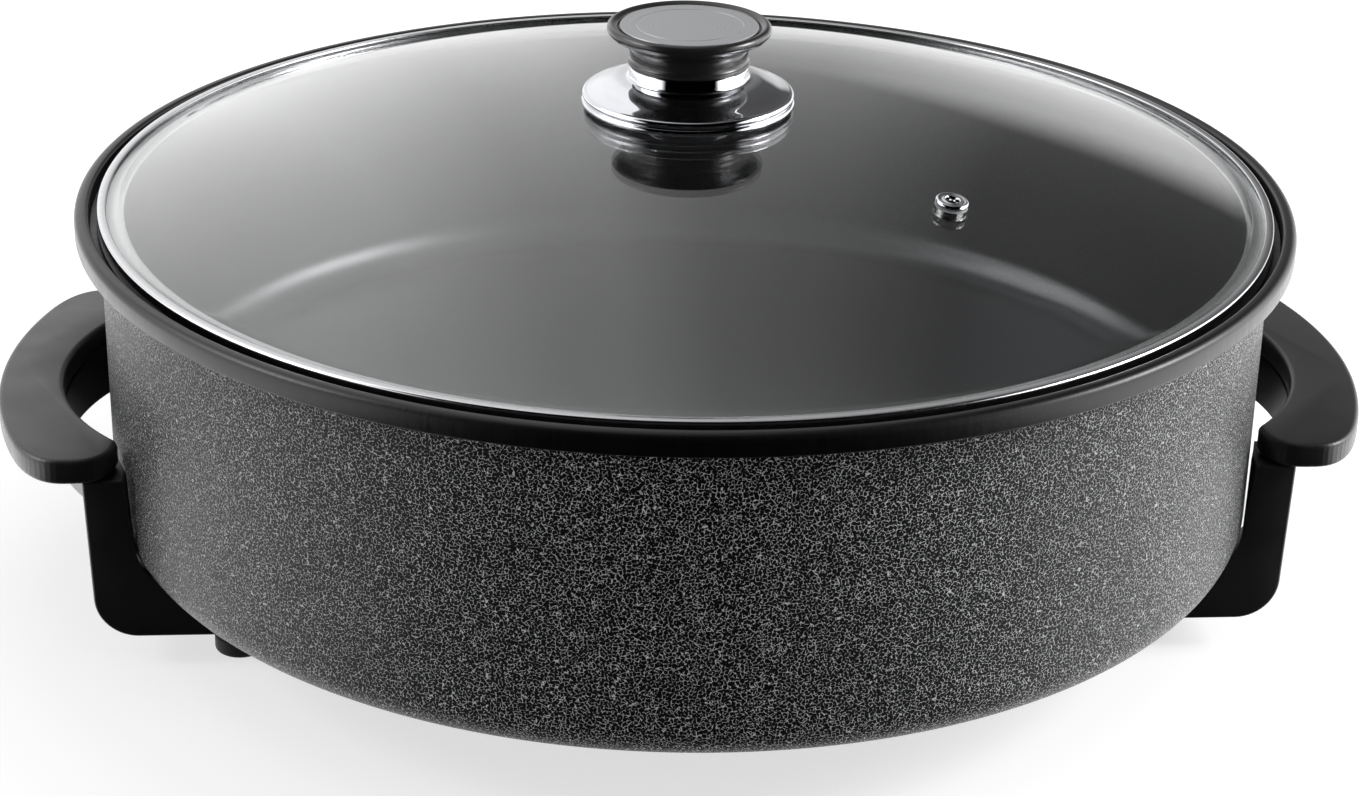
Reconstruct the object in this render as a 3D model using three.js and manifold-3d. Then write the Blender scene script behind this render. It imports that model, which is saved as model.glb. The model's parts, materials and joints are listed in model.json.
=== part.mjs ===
// Electric pan: a round cast pan on two leg frames with side grips, under a loose domed glass lid.
// Millimetres, +Z up. The origin is on the table under the middle of the pan, the grips are at -X and +X.
import * as THREE from 'three';
import Module from 'manifold-3d';
import { mergeVertices } from 'three/addons/utils/BufferGeometryUtils.js';

const wasm = await Module();
wasm.setup();

// Counts of facets
const panFaces = 54;
const ribFaces = 30;
const knobFaces = 26;
const smallFaces = 12;
const screwFaces = 8;
const elementFaces = 8;
const elementSteps = 42;
const elementPoints = 33; // round the ring
const outlineSteps = 4; // on each curve of a flat outline
const domeSteps = 5;
const filletSteps = 4;
const roundSteps = 3; // small roundings of turned pieces
const edgeSteps = 2; // the smallest ones

// Clearances that all pieces share
const seat = 0.3; // between a piece and what it rests on
const running = 0.3; // between a shank and its hole
const overrun = 4; // how far a cut runs past what it cuts

// The pan
const pan = {
  wallRadius: 178.7, // outside, under the rim band
  wellDepth: 16.5, // from the skirt's underside up to the underside of the cooking floor
  rimReach: 7.3, // how far the rim band stands out of the wall
  bandHeight: 6.6,
  lipRadius: 2.2, // outer rounding of the lip
  lipWidth: 4.4,
  lipInnerRadius: 1.2,
  bandEdge: 0.6, // chamfer under the band
  wall: 3.3,
  draft: 0.4, // the wall's lean over its height
  ledgeDepth: 4.9, // from the lip down to the lid's ledge
  cookingDepth: 82.5, // from the lip to the cooking floor
  floor: 3.5,
  innerFillet: 12,
  baseFillet: 12, // outer rounding at the foot of the skirt
  skirtWall: 4,
  skirtFlange: 6.5, // the part of the skirt's edge that turns in
  clampRib: 2.4,
  clampRibDepth: 6,
  clampGap: 1.4,
  bossRadius: 5.5,
  bossHoleDepth: 12,
};

// The legs, grips and feet
const leg = {
  width: 19, // along the rim
  outerFace: 65, // from the middle of the pan to the outer face of each leg
  screwCover: 6.6, // from a grip screw's axis to the outside of the leg
  taper: 1.4, // how much the outside leans in by the bottom
  armHeight: 16.7, // the arm under the pan
  armEndInset: 12, // from the foot's axis to the arm's inner end
  corner: 13,
  topDepth: 12.5, // from the outside of a leg to its inside, at its top
  innerLean: 2.2,
  shelf: 38, // height where the inside of a leg meets the rounding of the pan
  wall: 3,
  panGap: 0.9, // to the wall of the pan
  webWall: 3.6,
  webDepth: 16,
  bossRadius: 5.6,
  screwAcross: 54, // from the middle of the pan to the screws and feet
  screwInset: 14.8, // from the start of the pan's rounding in to the leg screws
  footInset: 13.5, // and from there in to the feet
  screwLedge: 6, // thickness of the arm over the heads of its screws
  driverRadius: 2.8, // of the hole under each grip screw
  headRoom: 4.5, // height of the room for a grip screw's head
};
const grip = {
  underside: 62, // above the table
  thickness: 8,
  edge: 1.8,
  middleWidth: 19.5, // from the finger gap's edge to the outside
  outerRadius: 150,
  fingerRadius: 78,
  halfLength: 68,
  shoulder: 50, // where the outer arc ends
  tip: 53.2, // where the finger gap ends
  tipCover: 3.4, // from a tip of the finger gap's edge out to the grip screw's axis
  tipLength: 12, // of the round inner corner, away from the pan
  endFlat: 3,
  holeDepth: 5,
};
const foot = { height: 10, radius: 8, edge: 2, stemRadius: 3.2, stemHeight: 6.5 };
const screw = { shank: 2, head: 3.8, headHeight: 2.6, driveRadius: 1.5, driveDepth: 1.3 };

// The heating element and its socket, at +X
const element = {
  radius: 4, // of the tube
  ringInset: 73.3, // from the outside of the wall in to the ring
  leadAcross: 14, // from the middle of the pan to each cold end
  leadDrop: 3.4, // how far the cold ends lie below the ring
  leadReach: 2, // of a cold end, past the back of the shroud
  leadLength: 28, // of its straight part
  bendRadius: 12,
  ringStart: 20, // degrees round from +X to where the ring is round
};
const terminal = { beadLength: 4, beadRadius: 4.4, pinRadius: 2.4, pinLength: 22, tip: 1 };
const probe = { inside: 36, length: 54, radius: 4.2, wall: 1, saddleWidth: 14, saddleLength: 34 };
const socket = {
  halfWidth: 28,
  inset: 30.3, // from the outside of the wall in to the back of the shroud
  length: 26,
  wall: 1.2,
  under: 1.2, // from the skirt's underside up to the shroud
  corner: 3,
  tabWidth: 10,
  tabLength: 14,
  screwAcross: 24,
  notchGap: 1.5,
  notchInset: 2, // from the back of the shroud out to the notch
  bossRadius: 5,
  holeRadius: 5.4, // round each cold end
};
const earth = { width: 5, wall: 0.8, inset: 4, length: 18, rise: 3, across: 21 };

// The lid
const lid = {
  glass: 3.6,
  rise: 27.1, // from the glass's edge to its crown
  flatEdge: 5.4, // the flat border that the ring clasps
  knobHole: 4.6,
  ringWall: 0.6,
  ringGap: 2.4, // from the pan's lip to the ring
  ringLip: 2.7, // width over the glass
  ringFlange: 8.8, // width under the glass
  ringEdge: 0.5,
};
const vent = {
  reach: 99.5, // from the lid's axis
  turn: -44.5, // degrees round from +X
  radius: 4.9,
  height: 1.6,
  crownShare: 0.82, // of the head's height, half way in from its roll
  tubeRadius: 3.5,
  bore: 1.7,
  holeGap: 0.5,
  washer: 0.4,
  flange: 5.2,
  flangeWall: 0.8,
};

// The knob and its collar
const knob = {
  lipReach: 25,
  lipRadius: 1.55,
  height: 12.5, // over the collar's neck
  waist: 17.9,
  waistHeight: 2.2,
  flare: 22.3,
  flareHeight: 7.9,
  flareOutShare: 0.18, // the flare's curve passes this far out
  flareUpShare: 0.62, // and this far up
  ridge: 18.6,
  ridgeHeight: 1.2,
  stem: 16.4,
  recess: 1.5,
  recessRadius: 21.6,
  insertRadius: 4,
  insertLength: 13,
  disc: 0.6,
  discGap: 0.5,
};
const collar = {
  flange: 32.5,
  edgeHeight: 4.4, // of the double rolled edge
  bead: 1.1,
  domeRise: 4.2,
  domeOutShare: 0.55, // the dome's curve passes this far out
  domeUpShare: 0.62, // and this far up
  neck: 18.2,
  neckHeight: 4,
  wall: 0.9,
  seatRise: 1.5, // from the glass to the collar's web
  drop: 0.3, // of the flange's edge below the glass's crown
};
const clamp = {
  gasketRadius: 15, // above the glass
  lowerGasketRadius: 10,
  lowerGasket: 0.9,
  washerRadius: 9,
  washer: 1,
  screwReach: 11, // into the knob, from the collar's web
};

// Heights worked out from the sizes above
const baseZ = foot.height + leg.armHeight + seat;
const wellZ = baseZ + pan.wellDepth;
const floorZ = wellZ + pan.floor;
const lipZ = floorZ + pan.cookingDepth;
const bandZ = lipZ - pan.bandHeight;
const ledgeZ = lipZ - pan.ledgeDepth;
const rimRadius = pan.wallRadius + pan.rimReach;
const lipInner = rimRadius - pan.lipWidth;
const innerWall = pan.wallRadius - pan.wall;
const footRadius = pan.wallRadius - pan.draft; // of the wall where the base fillet starts
const filletCentre = footRadius - pan.baseFillet;
const elementZ = wellZ - seat - element.radius;
const leadZ = elementZ - element.leadDrop;
const ringRadius = lipInner - lid.ringGap;
const ringZ = ledgeZ + seat;
const glassEdgeZ = ringZ + lid.ringWall + seat;
const glassTopZ = glassEdgeZ + lid.glass;
const glassRadius = ringRadius - lid.ringWall - seat;
const domeRadius = glassRadius - lid.flatEdge;
const crownZ = glassTopZ + lid.rise;
const domeSphere = (domeRadius ** 2 + lid.rise ** 2) / (2 * lid.rise);
const gripTopZ = grip.underside + grip.thickness;

// Distances from the axis of the pan for the element and its socket
const elementRing = footRadius - element.ringInset;
const socketStart = footRadius - socket.inset;
const socketEnd = socketStart + socket.length;
const leadEnd = socketStart + element.leadReach;
const leadStart = leadEnd - element.leadLength;
const probeStart = socketStart - probe.inside;

// Distances from the axis of the pan: each grip screw's head clears the wall, and the leg and grip follow it
const legScrewReach = filletCentre - leg.screwInset;
const footReach = legScrewReach - leg.footInset;
const armEnd = footReach - leg.armEndInset;
const wallByScrew = Math.sqrt((pan.wallRadius + leg.panGap) ** 2 - leg.screwAcross ** 2);
const gripScrewReach = wallByScrew + screw.head + running;
const legReach = gripScrewReach + leg.screwCover;
const innerTop = legReach - leg.topDepth;
const tipAngle = Math.asin(grip.tip / grip.fingerRadius);
const tipX = gripScrewReach - grip.tipCover;
const fingerCentre = tipX - grip.fingerRadius * Math.cos(tipAngle);
const gripReach = fingerCentre + grip.fingerRadius + grip.middleWidth;

// Turns any closed geometry into a solid: shared corners are merged, slivers dropped, faces turned out.
function solid(geometry) {
  const bare = geometry.clone();
  for (const name of ['normal', 'uv', 'uv1']) bare.deleteAttribute(name);
  const merged = mergeVertices(bare, 1e-4);
  const place = merged.getAttribute('position');
  const index = Array.from(merged.getIndex().array);
  const faces = [];
  let volume = 0;
  const [a, b, c] = [new THREE.Vector3(), new THREE.Vector3(), new THREE.Vector3()];
  for (let i = 0; i < index.length; i += 3) {
    const [p, q, r] = index.slice(i, i + 3);
    if (p === q || q === r || r === p) continue;
    faces.push(p, q, r);
    [a, b, c].forEach((corner, k) => corner.fromBufferAttribute(place, [p, q, r][k]));
    volume += a.dot(b.cross(c));
  }
  if (volume < 0) for (let i = 0; i < faces.length; i += 3) faces.splice(i, 2, faces[i + 1], faces[i]);
  const vertProperties = new Float32Array(place.array);
  return new wasm.Manifold(new wasm.Mesh({ numProp: 3, vertProperties, triVerts: new Uint32Array(faces) }));
}

// Gives a solid back as a geometry with flat faces.
function geometryOf(body) {
  const mesh = body.getMesh();
  const geometry = new THREE.BufferGeometry();
  geometry.setAttribute('position', new THREE.BufferAttribute(mesh.vertProperties, 3));
  geometry.setIndex(new THREE.BufferAttribute(mesh.triVerts, 1));
  const flat = geometry.toNonIndexed();
  flat.computeVertexNormals();
  return flat;
}

// A solid of revolution about Z from [radius, height] pairs.
function turned(profile, faces) {
  const points = profile.map(([radius, z]) => new THREE.Vector2(radius, z));
  return solid(new THREE.LatheGeometry(points, faces).rotateX(Math.PI / 2));
}

// A ring, which is a profile that closes on itself.
function ring(profile, faces) {
  return turned([...profile, profile[0]], faces);
}

// Points on an arc, angles in degrees, as [radius, height] pairs.
function arc(radius, z, size, from, to, steps) {
  return Array.from({ length: steps + 1 }, (_, i) => {
    const angle = THREE.MathUtils.degToRad(from + ((to - from) * i) / steps);
    return [radius + size * Math.cos(angle), z + size * Math.sin(angle)];
  });
}

// A disc or peg about Z from one height to another.
function peg(radius, from, to, faces = smallFaces) {
  return solid(new THREE.CylinderGeometry(radius, radius, to - from, faces).rotateX(Math.PI / 2)
    .translate(0, 0, (from + to) / 2));
}

// A block between two corners.
function block(low, high) {
  const size = high.map((value, i) => value - low[i]);
  const middle = high.map((value, i) => (value + low[i]) / 2);
  return solid(new THREE.BoxGeometry(...size).translate(...middle));
}

// An outline in X and Y raised along Z, with rounded edges where an edge size is given.
function raised(shape, from, to, edge = 0, curveSegments = outlineSteps) {
  const body = { depth: to - from - 2 * edge, curveSegments };
  const rounding = { bevelEnabled: edge > 0, bevelSize: edge, bevelThickness: edge, bevelOffset: -edge };
  const settings = { ...body, ...rounding, bevelSegments: edgeSteps };
  return solid(new THREE.ExtrudeGeometry(shape, settings).translate(0, 0, from + edge));
}

// Joins a list of solids.
function joined(list) {
  return list.reduce((whole, next) => whole.add(next));
}

// The outside of the pan, grown by a gap, as a solid that cuts what stands round it.
function panEnvelope(gap) {
  const outline = [[0, baseZ - seat], [filletCentre, baseZ - seat]];
  outline.push(...arc(filletCentre, baseZ + pan.baseFillet, pan.baseFillet + gap, -60, 0, filletSteps));
  outline.push([pan.wallRadius + gap, bandZ], [0, bandZ]);
  return turned(outline, panFaces);
}

// Screw boss places on the underside of the pan.
const sides = [-1, 1];
const legPlaces = sides.flatMap((x) => sides.map((y) => [x * legScrewReach, y * leg.screwAcross]));
const socketPlaces = sides.map((y) => [socketStart - socket.tabLength / 2, y * socket.screwAcross]);

// The pan: rim band, rounded lip, ledge for the lid, cooking floor, and a skirt round the element's well.
function panBody() {
  const skirtInner = footRadius - pan.skirtWall;
  const flangeInner = filletCentre - pan.skirtFlange;
  const innerFloor = innerWall - pan.draft - pan.innerFillet;
  const profile = [
    [0, wellZ],
    [skirtInner, wellZ],
    ...arc(filletCentre, baseZ + pan.baseFillet, pan.baseFillet - pan.skirtWall, 0, -90, 1),
    [flangeInner, baseZ + pan.skirtWall],
    [flangeInner, baseZ],
    ...arc(filletCentre, baseZ + pan.baseFillet, pan.baseFillet, -90, 0, filletSteps),
    [pan.wallRadius, bandZ],
    [rimRadius - pan.bandEdge, bandZ],
    [rimRadius, bandZ + pan.bandEdge],
    ...arc(rimRadius - pan.lipRadius, lipZ - pan.lipRadius, pan.lipRadius, 0, 90, edgeSteps),
    ...arc(lipInner + pan.lipInnerRadius, lipZ - pan.lipInnerRadius, pan.lipInnerRadius, 90, 180, 1),
    [lipInner, ledgeZ],
    [innerWall, ledgeZ],
    ...arc(innerFloor, floorZ + pan.innerFillet, pan.innerFillet, 0, -90, roundSteps),
    [0, floorZ],
  ];
  const ribBottom = wellZ - pan.clampRibDepth;
  const ribs = [-1, 1].map((side) => {
    const near = elementRing + side * (element.radius + pan.clampGap);
    const far = near + side * pan.clampRib;
    return ring([[near, ribBottom], [far, ribBottom], [far, floorZ - seat], [near, floorZ - seat]], ribFaces);
  });
  const leadGap = elementRing * Math.sin(THREE.MathUtils.degToRad(element.ringStart));
  const leadCut = block([0, -leadGap, baseZ], [pan.wallRadius, leadGap, wellZ]);
  const clampRibs = joined(ribs).subtract(leadCut);
  const boss = ([x, y], radius, from) => peg(radius, from, floorZ - seat).translate(x, y, 0);
  const probeMiddle = (probeStart + socketStart) / 2;
  const saddle = block(
    [probeMiddle - probe.saddleLength / 2, -probe.saddleWidth / 2, leadZ + probe.radius + seat],
    [probeMiddle + probe.saddleLength / 2, probe.saddleWidth / 2, floorZ - seat],
  );
  const tabTop = baseZ + socket.under + socket.wall + seat;
  const bosses = [
    ...legPlaces.map((place) => boss(place, pan.bossRadius, baseZ)),
    ...socketPlaces.map((place) => boss(place, socket.bossRadius, tabTop)),
  ];
  const hole = (from) => ([x, y]) =>
    peg(screw.shank + running, from - overrun, from + pan.bossHoleDepth, screwFaces).translate(x, y, 0);
  const notchHalf = socket.halfWidth + socket.notchGap;
  const notchStart = socketStart + socket.notchInset;
  const notch = block([notchStart, -notchHalf, baseZ - overrun], [rimRadius, notchHalf, wellZ]);
  const holes = [...legPlaces.map(hole(baseZ)), ...socketPlaces.map(hole(tabTop))];
  const whole = joined([turned(profile, panFaces), clampRibs, saddle, ...bosses]);
  return whole.subtract(joined([notch, ...holes]));
}

// The L outline of a leg with its arm under the pan, seen along the rim; shelf is the top of the arm.
function legOutline(inset, shelf) {
  const top = grip.underside - seat - inset;
  const bottom = foot.height + inset;
  const outer = legReach - inset;
  const outerLow = outer - leg.taper;
  const corner = leg.corner - inset;
  const shape = new THREE.Shape();
  shape.moveTo(armEnd + inset, bottom);
  shape.lineTo(outerLow - corner, bottom);
  shape.absarc(outerLow - corner, bottom + corner, corner, -Math.PI / 2, 0);
  shape.lineTo(outer, top);
  shape.lineTo(innerTop + inset, top);
  shape.lineTo(innerTop - leg.innerLean + inset, shelf);
  shape.lineTo(armEnd + inset, shelf);
  return shape;
}

// The L outline raised between two distances from the middle of the pan, measured along the rim.
function legPlate(inset, shelf, from, to) {
  return raised(legOutline(inset, shelf), from, to, 0, edgeSteps).rotate(90, 0, 0).mirror([0, 1, 0]);
}

// The curved web that joins the two legs under the finger gap's edge.
function legWeb() {
  const reachAngle = Math.asin((leg.outerFace - leg.width + leg.wall) / grip.fingerRadius);
  const shape = new THREE.Shape();
  shape.absarc(fingerCentre, 0, grip.fingerRadius + leg.webWall, -reachAngle, reachAngle);
  shape.absarc(fingerCentre, 0, grip.fingerRadius, reachAngle, -reachAngle, true);
  const top = grip.underside - seat;
  return raised(shape, top - leg.webDepth, top);
}

// One moulding at +X: two hollow L legs with bosses for screws and feet, joined by the web.
function legFrame() {
  const insideFace = leg.outerFace - leg.width;
  const top = grip.underside - seat;
  const armTop = foot.height + leg.armHeight;
  const headTop = armTop - leg.screwLedge;
  const gripHeadTop = top - leg.wall;
  const atScrew = (radius, from, to, x, side = 1) =>
    peg(radius, from, to, screwFaces).translate(x, side * leg.screwAcross, 0);
  const posts = [legScrewReach, footReach].map((x) => atScrew(leg.bossRadius, foot.height, armTop, x));
  const pocketFace = leg.outerFace - leg.wall;
  const hollow = legPlate(leg.wall, armTop - leg.wall, insideFace - overrun, pocketFace);
  const pocket = hollow.subtract(joined(posts));
  const rearLeg = legPlate(0, leg.shelf, insideFace, leg.outerFace).subtract(pocket);
  const frontLeg = rearLeg.mirror([0, 1, 0]);
  const shank = screw.shank + running;
  const head = screw.head + running;
  const stem = foot.stemRadius + running;
  const low = foot.height - overrun;
  const cuts = sides.flatMap((side) => [
    atScrew(shank, low, armTop + overrun, legScrewReach, side),
    atScrew(head, low, headTop, legScrewReach, side),
    atScrew(stem, low, foot.height + foot.stemHeight + seat, footReach, side),
    atScrew(shank, gripHeadTop - overrun, top + overrun, gripScrewReach, side),
    atScrew(head, gripHeadTop - leg.headRoom, gripHeadTop, gripScrewReach, side),
    atScrew(leg.driverRadius, low, foot.height + leg.corner, gripScrewReach, side),
  ]);
  return joined([rearLeg, frontLeg, legWeb()]).subtract(joined([panEnvelope(leg.panGap), ...cuts]));
}

// The crescent outline of a grip: outer arc, round shoulders, flat ends and the finger gap's arc.
function gripOutline() {
  const outerCentre = gripReach - grip.outerRadius;
  const shoulderAngle = Math.asin(grip.shoulder / grip.outerRadius);
  const shoulderX = outerCentre + grip.outerRadius * Math.cos(shoulderAngle);
  const cornerX = shoulderX - (grip.halfLength - grip.shoulder) * Math.tan(shoulderAngle);
  const tipFlat = tipX + grip.tipLength;
  const endX = tipFlat + grip.endFlat;
  const shape = new THREE.Shape();
  shape.absarc(outerCentre, 0, grip.outerRadius, -shoulderAngle, shoulderAngle);
  shape.quadraticCurveTo(cornerX, grip.halfLength, endX, grip.halfLength);
  shape.lineTo(tipFlat, grip.halfLength);
  shape.quadraticCurveTo(tipX, grip.halfLength, tipX, grip.tip);
  shape.absarc(fingerCentre, 0, grip.fingerRadius, tipAngle, -tipAngle, true);
  shape.quadraticCurveTo(tipX, -grip.halfLength, tipFlat, -grip.halfLength);
  shape.lineTo(endX, -grip.halfLength);
  shape.quadraticCurveTo(cornerX, -grip.halfLength, shoulderX, -grip.shoulder);
  return shape;
}

// A grip at +X, with two blind holes for its screws.
function handleGrip() {
  const holes = sides.map((side) =>
    peg(screw.shank + running, grip.underside - overrun, grip.underside + grip.holeDepth, screwFaces)
      .translate(gripScrewReach, side * leg.screwAcross, 0));
  return raised(gripOutline(), grip.underside, gripTopZ, grip.edge).subtract(joined(holes));
}

// A rubber foot with a stem that is pressed into the arm.
function footPad() {
  const top = foot.height - seat;
  const profile = [[0, 0], ...arc(foot.radius - foot.edge, foot.edge, foot.edge, -90, 0, edgeSteps)];
  profile.push([foot.radius, top], [foot.stemRadius, top], [foot.stemRadius, top + foot.stemHeight]);
  return turned([...profile, [0, top + foot.stemHeight]], smallFaces);
}

// A pan-head screw that points up, with its drive recess below; z is the underside of what it clamps.
function upScrew(z, length) {
  const headTop = z - seat;
  const bottom = headTop - screw.headHeight;
  const rounding = screw.headHeight / 2;
  const profile = [
    [0, bottom + screw.driveDepth],
    [screw.driveRadius, bottom + screw.driveDepth],
    [screw.driveRadius, bottom],
    ...arc(screw.head - rounding, bottom + rounding, rounding, -90, 0, 1),
    [screw.head, headTop],
    [screw.shank, headTop],
    [screw.shank, z + length],
    [0, z + length],
  ];
  return turned(profile, screwFaces);
}

// The tubular element: a ring under the floor whose two cold ends drop and run out to the socket at +X.
function heatingElement() {
  const { leadAcross, bendRadius, ringStart } = element;
  const size = elementRing;
  const last = 360 - ringStart;
  const spacing = (last - ringStart) / (elementPoints - 1);
  const around = Array.from({ length: elementPoints }, (_, i) => ringStart + spacing * i)
    .map((angle) => THREE.MathUtils.degToRad(angle))
    .map((angle) => new THREE.Vector3(size * Math.cos(angle), size * Math.sin(angle), elementZ));
  const bend = Math.SQRT1_2 * bendRadius;
  const cornerX = size - element.radius / 2;
  const midZ = (elementZ + leadZ) / 2;
  const lead = (side) => [
    new THREE.Vector3(leadEnd, side * leadAcross, leadZ),
    new THREE.Vector3((leadEnd + leadStart) / 2, side * leadAcross, leadZ),
    new THREE.Vector3(leadStart, side * leadAcross, leadZ),
    new THREE.Vector3(cornerX + bendRadius - bend, side * (leadAcross + bendRadius - bend), midZ),
    new THREE.Vector3(cornerX, side * (leadAcross + bendRadius), elementZ),
  ];
  const path = new THREE.CatmullRomCurve3([...lead(1), ...around, ...lead(-1).reverse()]);
  const section = new THREE.Shape().absarc(0, 0, element.radius, 0, 2 * Math.PI);
  const settings = { steps: elementSteps, extrudePath: path, bevelEnabled: false };
  return solid(new THREE.ExtrudeGeometry(section, { ...settings, curveSegments: elementFaces / 2 }));
}

// Turns a solid made about Z so that it lies along +X, starting at x, at the height of the cold ends.
function alongX(body, x, y) {
  return body.rotate(0, 90, 0).translate(x, y, leadZ);
}

function terminalBead(side) {
  const { beadLength, beadRadius, pinRadius } = terminal;
  const bore = pinRadius + running;
  const profile = [[bore, 0], [beadRadius, 0], [beadRadius, beadLength], [bore, beadLength]];
  return alongX(ring(profile, smallFaces), leadEnd + seat, side * element.leadAcross);
}

function terminalPin(side) {
  const { pinRadius, pinLength, tip } = terminal;
  const profile = [[0, 0], [pinRadius, 0], [pinRadius, pinLength - tip], [pinRadius - tip, pinLength]];
  const pin = turned([...profile, [0, pinLength]], smallFaces);
  return alongX(pin, leadEnd + seat, side * element.leadAcross);
}

function probeTube() {
  const bore = probe.radius - probe.wall;
  const profile = [[0, 0], [probe.radius, 0], [probe.radius, probe.length], [bore, probe.length]];
  return alongX(turned([...profile, [bore, probe.wall], [0, probe.wall]], smallFaces), probeStart, 0);
}

// The shroud: a box open at +X, with a back wall pierced for the cold ends and the probe tube, and two tabs.
function socketHousing() {
  const { halfWidth, wall, corner } = socket;
  const low = baseZ + socket.under;
  const high = wellZ - seat;
  const rounded = (inset) => {
    const [w, z0, z1, r] = [halfWidth - inset, low + inset, high - inset, corner - inset];
    const shape = new THREE.Shape();
    shape.absarc(w - r, z0 + r, r, -Math.PI / 2, 0);
    shape.absarc(w - r, z1 - r, r, 0, Math.PI / 2);
    shape.absarc(-w + r, z1 - r, r, Math.PI / 2, Math.PI);
    shape.absarc(-w + r, z0 + r, r, Math.PI, 1.5 * Math.PI);
    return shape;
  };
  const box = (inset, from, to) => raised(rounded(inset), from, to, 0, edgeSteps).rotate(90, 0, 90);
  const tab = (side) => block(
    [socketStart - socket.tabLength, side * socket.screwAcross - socket.tabWidth / 2, low],
    [socketStart + wall, side * socket.screwAcross + socket.tabWidth / 2, low + wall],
  );
  const through = (radius, y) => alongX(peg(radius, -overrun, wall + overrun), socketStart, y);
  const cuts = [
    box(wall, socketStart + wall, socketEnd + overrun),
    ...sides.map((side) => through(socket.holeRadius, side * element.leadAcross)),
    through(probe.radius + running, 0),
    ...socketPlaces.map(([x, y]) =>
      peg(screw.shank + running, low - overrun, low + wall + overrun, screwFaces).translate(x, y, 0)),
  ];
  return joined([box(0, socketStart, socketEnd), ...sides.map(tab)]).subtract(joined(cuts));
}

// The bowed earth leaf on the floor of the shroud.
function earthContact() {
  const z = baseZ + socket.under + socket.wall + seat;
  const { length, rise, wall } = earth;
  const start = socketStart + earth.inset;
  const middle = start + length / 2;
  const shape = new THREE.Shape();
  shape.moveTo(start, z);
  shape.quadraticCurveTo(middle, z + 2 * rise, start + length, z);
  shape.lineTo(start + length, z + wall);
  shape.quadraticCurveTo(middle, z + 2 * rise + wall, start, z + wall);
  return raised(shape, 0, earth.width).rotate(90, 0, 0).translate(0, earth.across + earth.width / 2, 0);
}

// Height of the glass's outer surface at a distance from the axis.
function domeZ(radius) {
  return crownZ - domeSphere + Math.sqrt(domeSphere ** 2 - radius ** 2);
}

// Points on the outer surface of the dome, from the knob's hole to the flat edge.
function domeLine(drop) {
  return Array.from({ length: domeSteps + 1 }, (_, i) => {
    const radius = lid.knobHole + ((domeRadius - lid.knobHole) * i) / domeSteps;
    return [radius, domeZ(radius) - drop];
  });
}

// Places a solid made about Z at the vent, square to the dome; z is counted from the outer surface.
function atVent(body) {
  const lean = THREE.MathUtils.radToDeg(Math.asin(vent.reach / domeSphere));
  return body.rotate(0, lean, 0).translate(vent.reach, 0, domeZ(vent.reach)).rotate(0, 0, vent.turn);
}

function lidGlass() {
  const profile = [
    ...domeLine(0),
    [glassRadius, glassTopZ],
    [glassRadius, glassEdgeZ],
    ...domeLine(lid.glass).reverse(),
  ];
  const hole = peg(vent.tubeRadius + vent.holeGap, -lid.glass - overrun, overrun);
  return ring(profile, panFaces).subtract(atVent(hole));
}

// The steel ring: a channel that clasps the flat edge of the glass, wider below than above.
function lidRing() {
  const top = glassTopZ + seat + lid.ringWall;
  const channel = ringRadius - lid.ringWall;
  const profile = [
    [ringRadius - lid.ringFlange, ringZ],
    [ringRadius, ringZ],
    [ringRadius, top - lid.ringEdge],
    [ringRadius - lid.ringEdge, top],
    [ringRadius - lid.ringLip, top],
    [ringRadius - lid.ringLip, top - lid.ringWall],
    [channel, top - lid.ringWall],
    [channel, ringZ + lid.ringWall],
    [ringRadius - lid.ringFlange, ringZ + lid.ringWall],
  ];
  return ring(profile, panFaces);
}

const collarWebZ = crownZ + collar.seatRise;
const collarEdgeZ = crownZ - collar.drop;
const collarTopZ = collarEdgeZ + collar.edgeHeight + collar.domeRise;
const neckTopZ = collarTopZ + collar.neckHeight;

// The chromed collar: a domed flange with a double rolled edge, a neck, and a web clamped to the glass.
function knobCollar() {
  const { flange, bead, wall, neck } = collar;
  const lowBead = collarEdgeZ + bead;
  const highBead = collarEdgeZ + 3 * bead;
  const domeEdge = highBead + bead;
  const inner = neck - wall;
  const hole = screw.shank + running;
  const profile = [
    [hole, collarWebZ],
    [inner, collarWebZ],
    [neck + wall, collarTopZ - 2 * wall],
    [flange - 2 * bead - wall, domeEdge - wall],
    [flange - 2 * bead, collarEdgeZ],
    ...arc(flange - bead, lowBead, bead, -90, 60, edgeSteps),
    ...arc(flange - bead - wall / 4, highBead, bead, -50, 90, edgeSteps),
    [neck + (flange - neck) * collar.domeOutShare, domeEdge + collar.domeRise * collar.domeUpShare],
    [neck + 2 * wall, collarTopZ],
    [neck, collarTopZ + wall],
    [neck, neckTopZ],
    [inner, neckTopZ],
    [inner, collarWebZ + wall],
    [hole, collarWebZ + wall],
  ];
  return ring(profile, knobFaces);
}

// The black knob: a stem in the neck, a ridge, a waist that flares to a rolled lip, a recess for the disc.
function knobBody() {
  const base = collarWebZ + collar.wall + seat;
  const shoulder = neckTopZ + seat;
  const top = shoulder + knob.height;
  const lipZc = top - knob.lipRadius;
  const recessZ = top - knob.recess;
  const midFlare = knob.waist + (knob.flare - knob.waist) * knob.flareOutShare;
  const bore = knob.insertRadius + running;
  const stem = Math.min(knob.stem, collar.neck - 2 * collar.wall - running);
  const profile = [
    [0, base + knob.insertLength + seat],
    [bore, base + knob.insertLength + seat],
    [bore, base],
    [stem, base],
    [stem, shoulder],
    [knob.ridge, shoulder],
    [knob.ridge, shoulder + knob.ridgeHeight],
    [knob.waist, shoulder + knob.waistHeight],
    [midFlare, shoulder + knob.flareHeight * knob.flareUpShare],
    [knob.flare, shoulder + knob.flareHeight],
    ...arc(knob.lipReach - knob.lipRadius, lipZc, knob.lipRadius, -50, 90, roundSteps),
    [knob.recessRadius, recessZ],
    [0, recessZ],
  ];
  return turned(profile, knobFaces);
}

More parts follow.
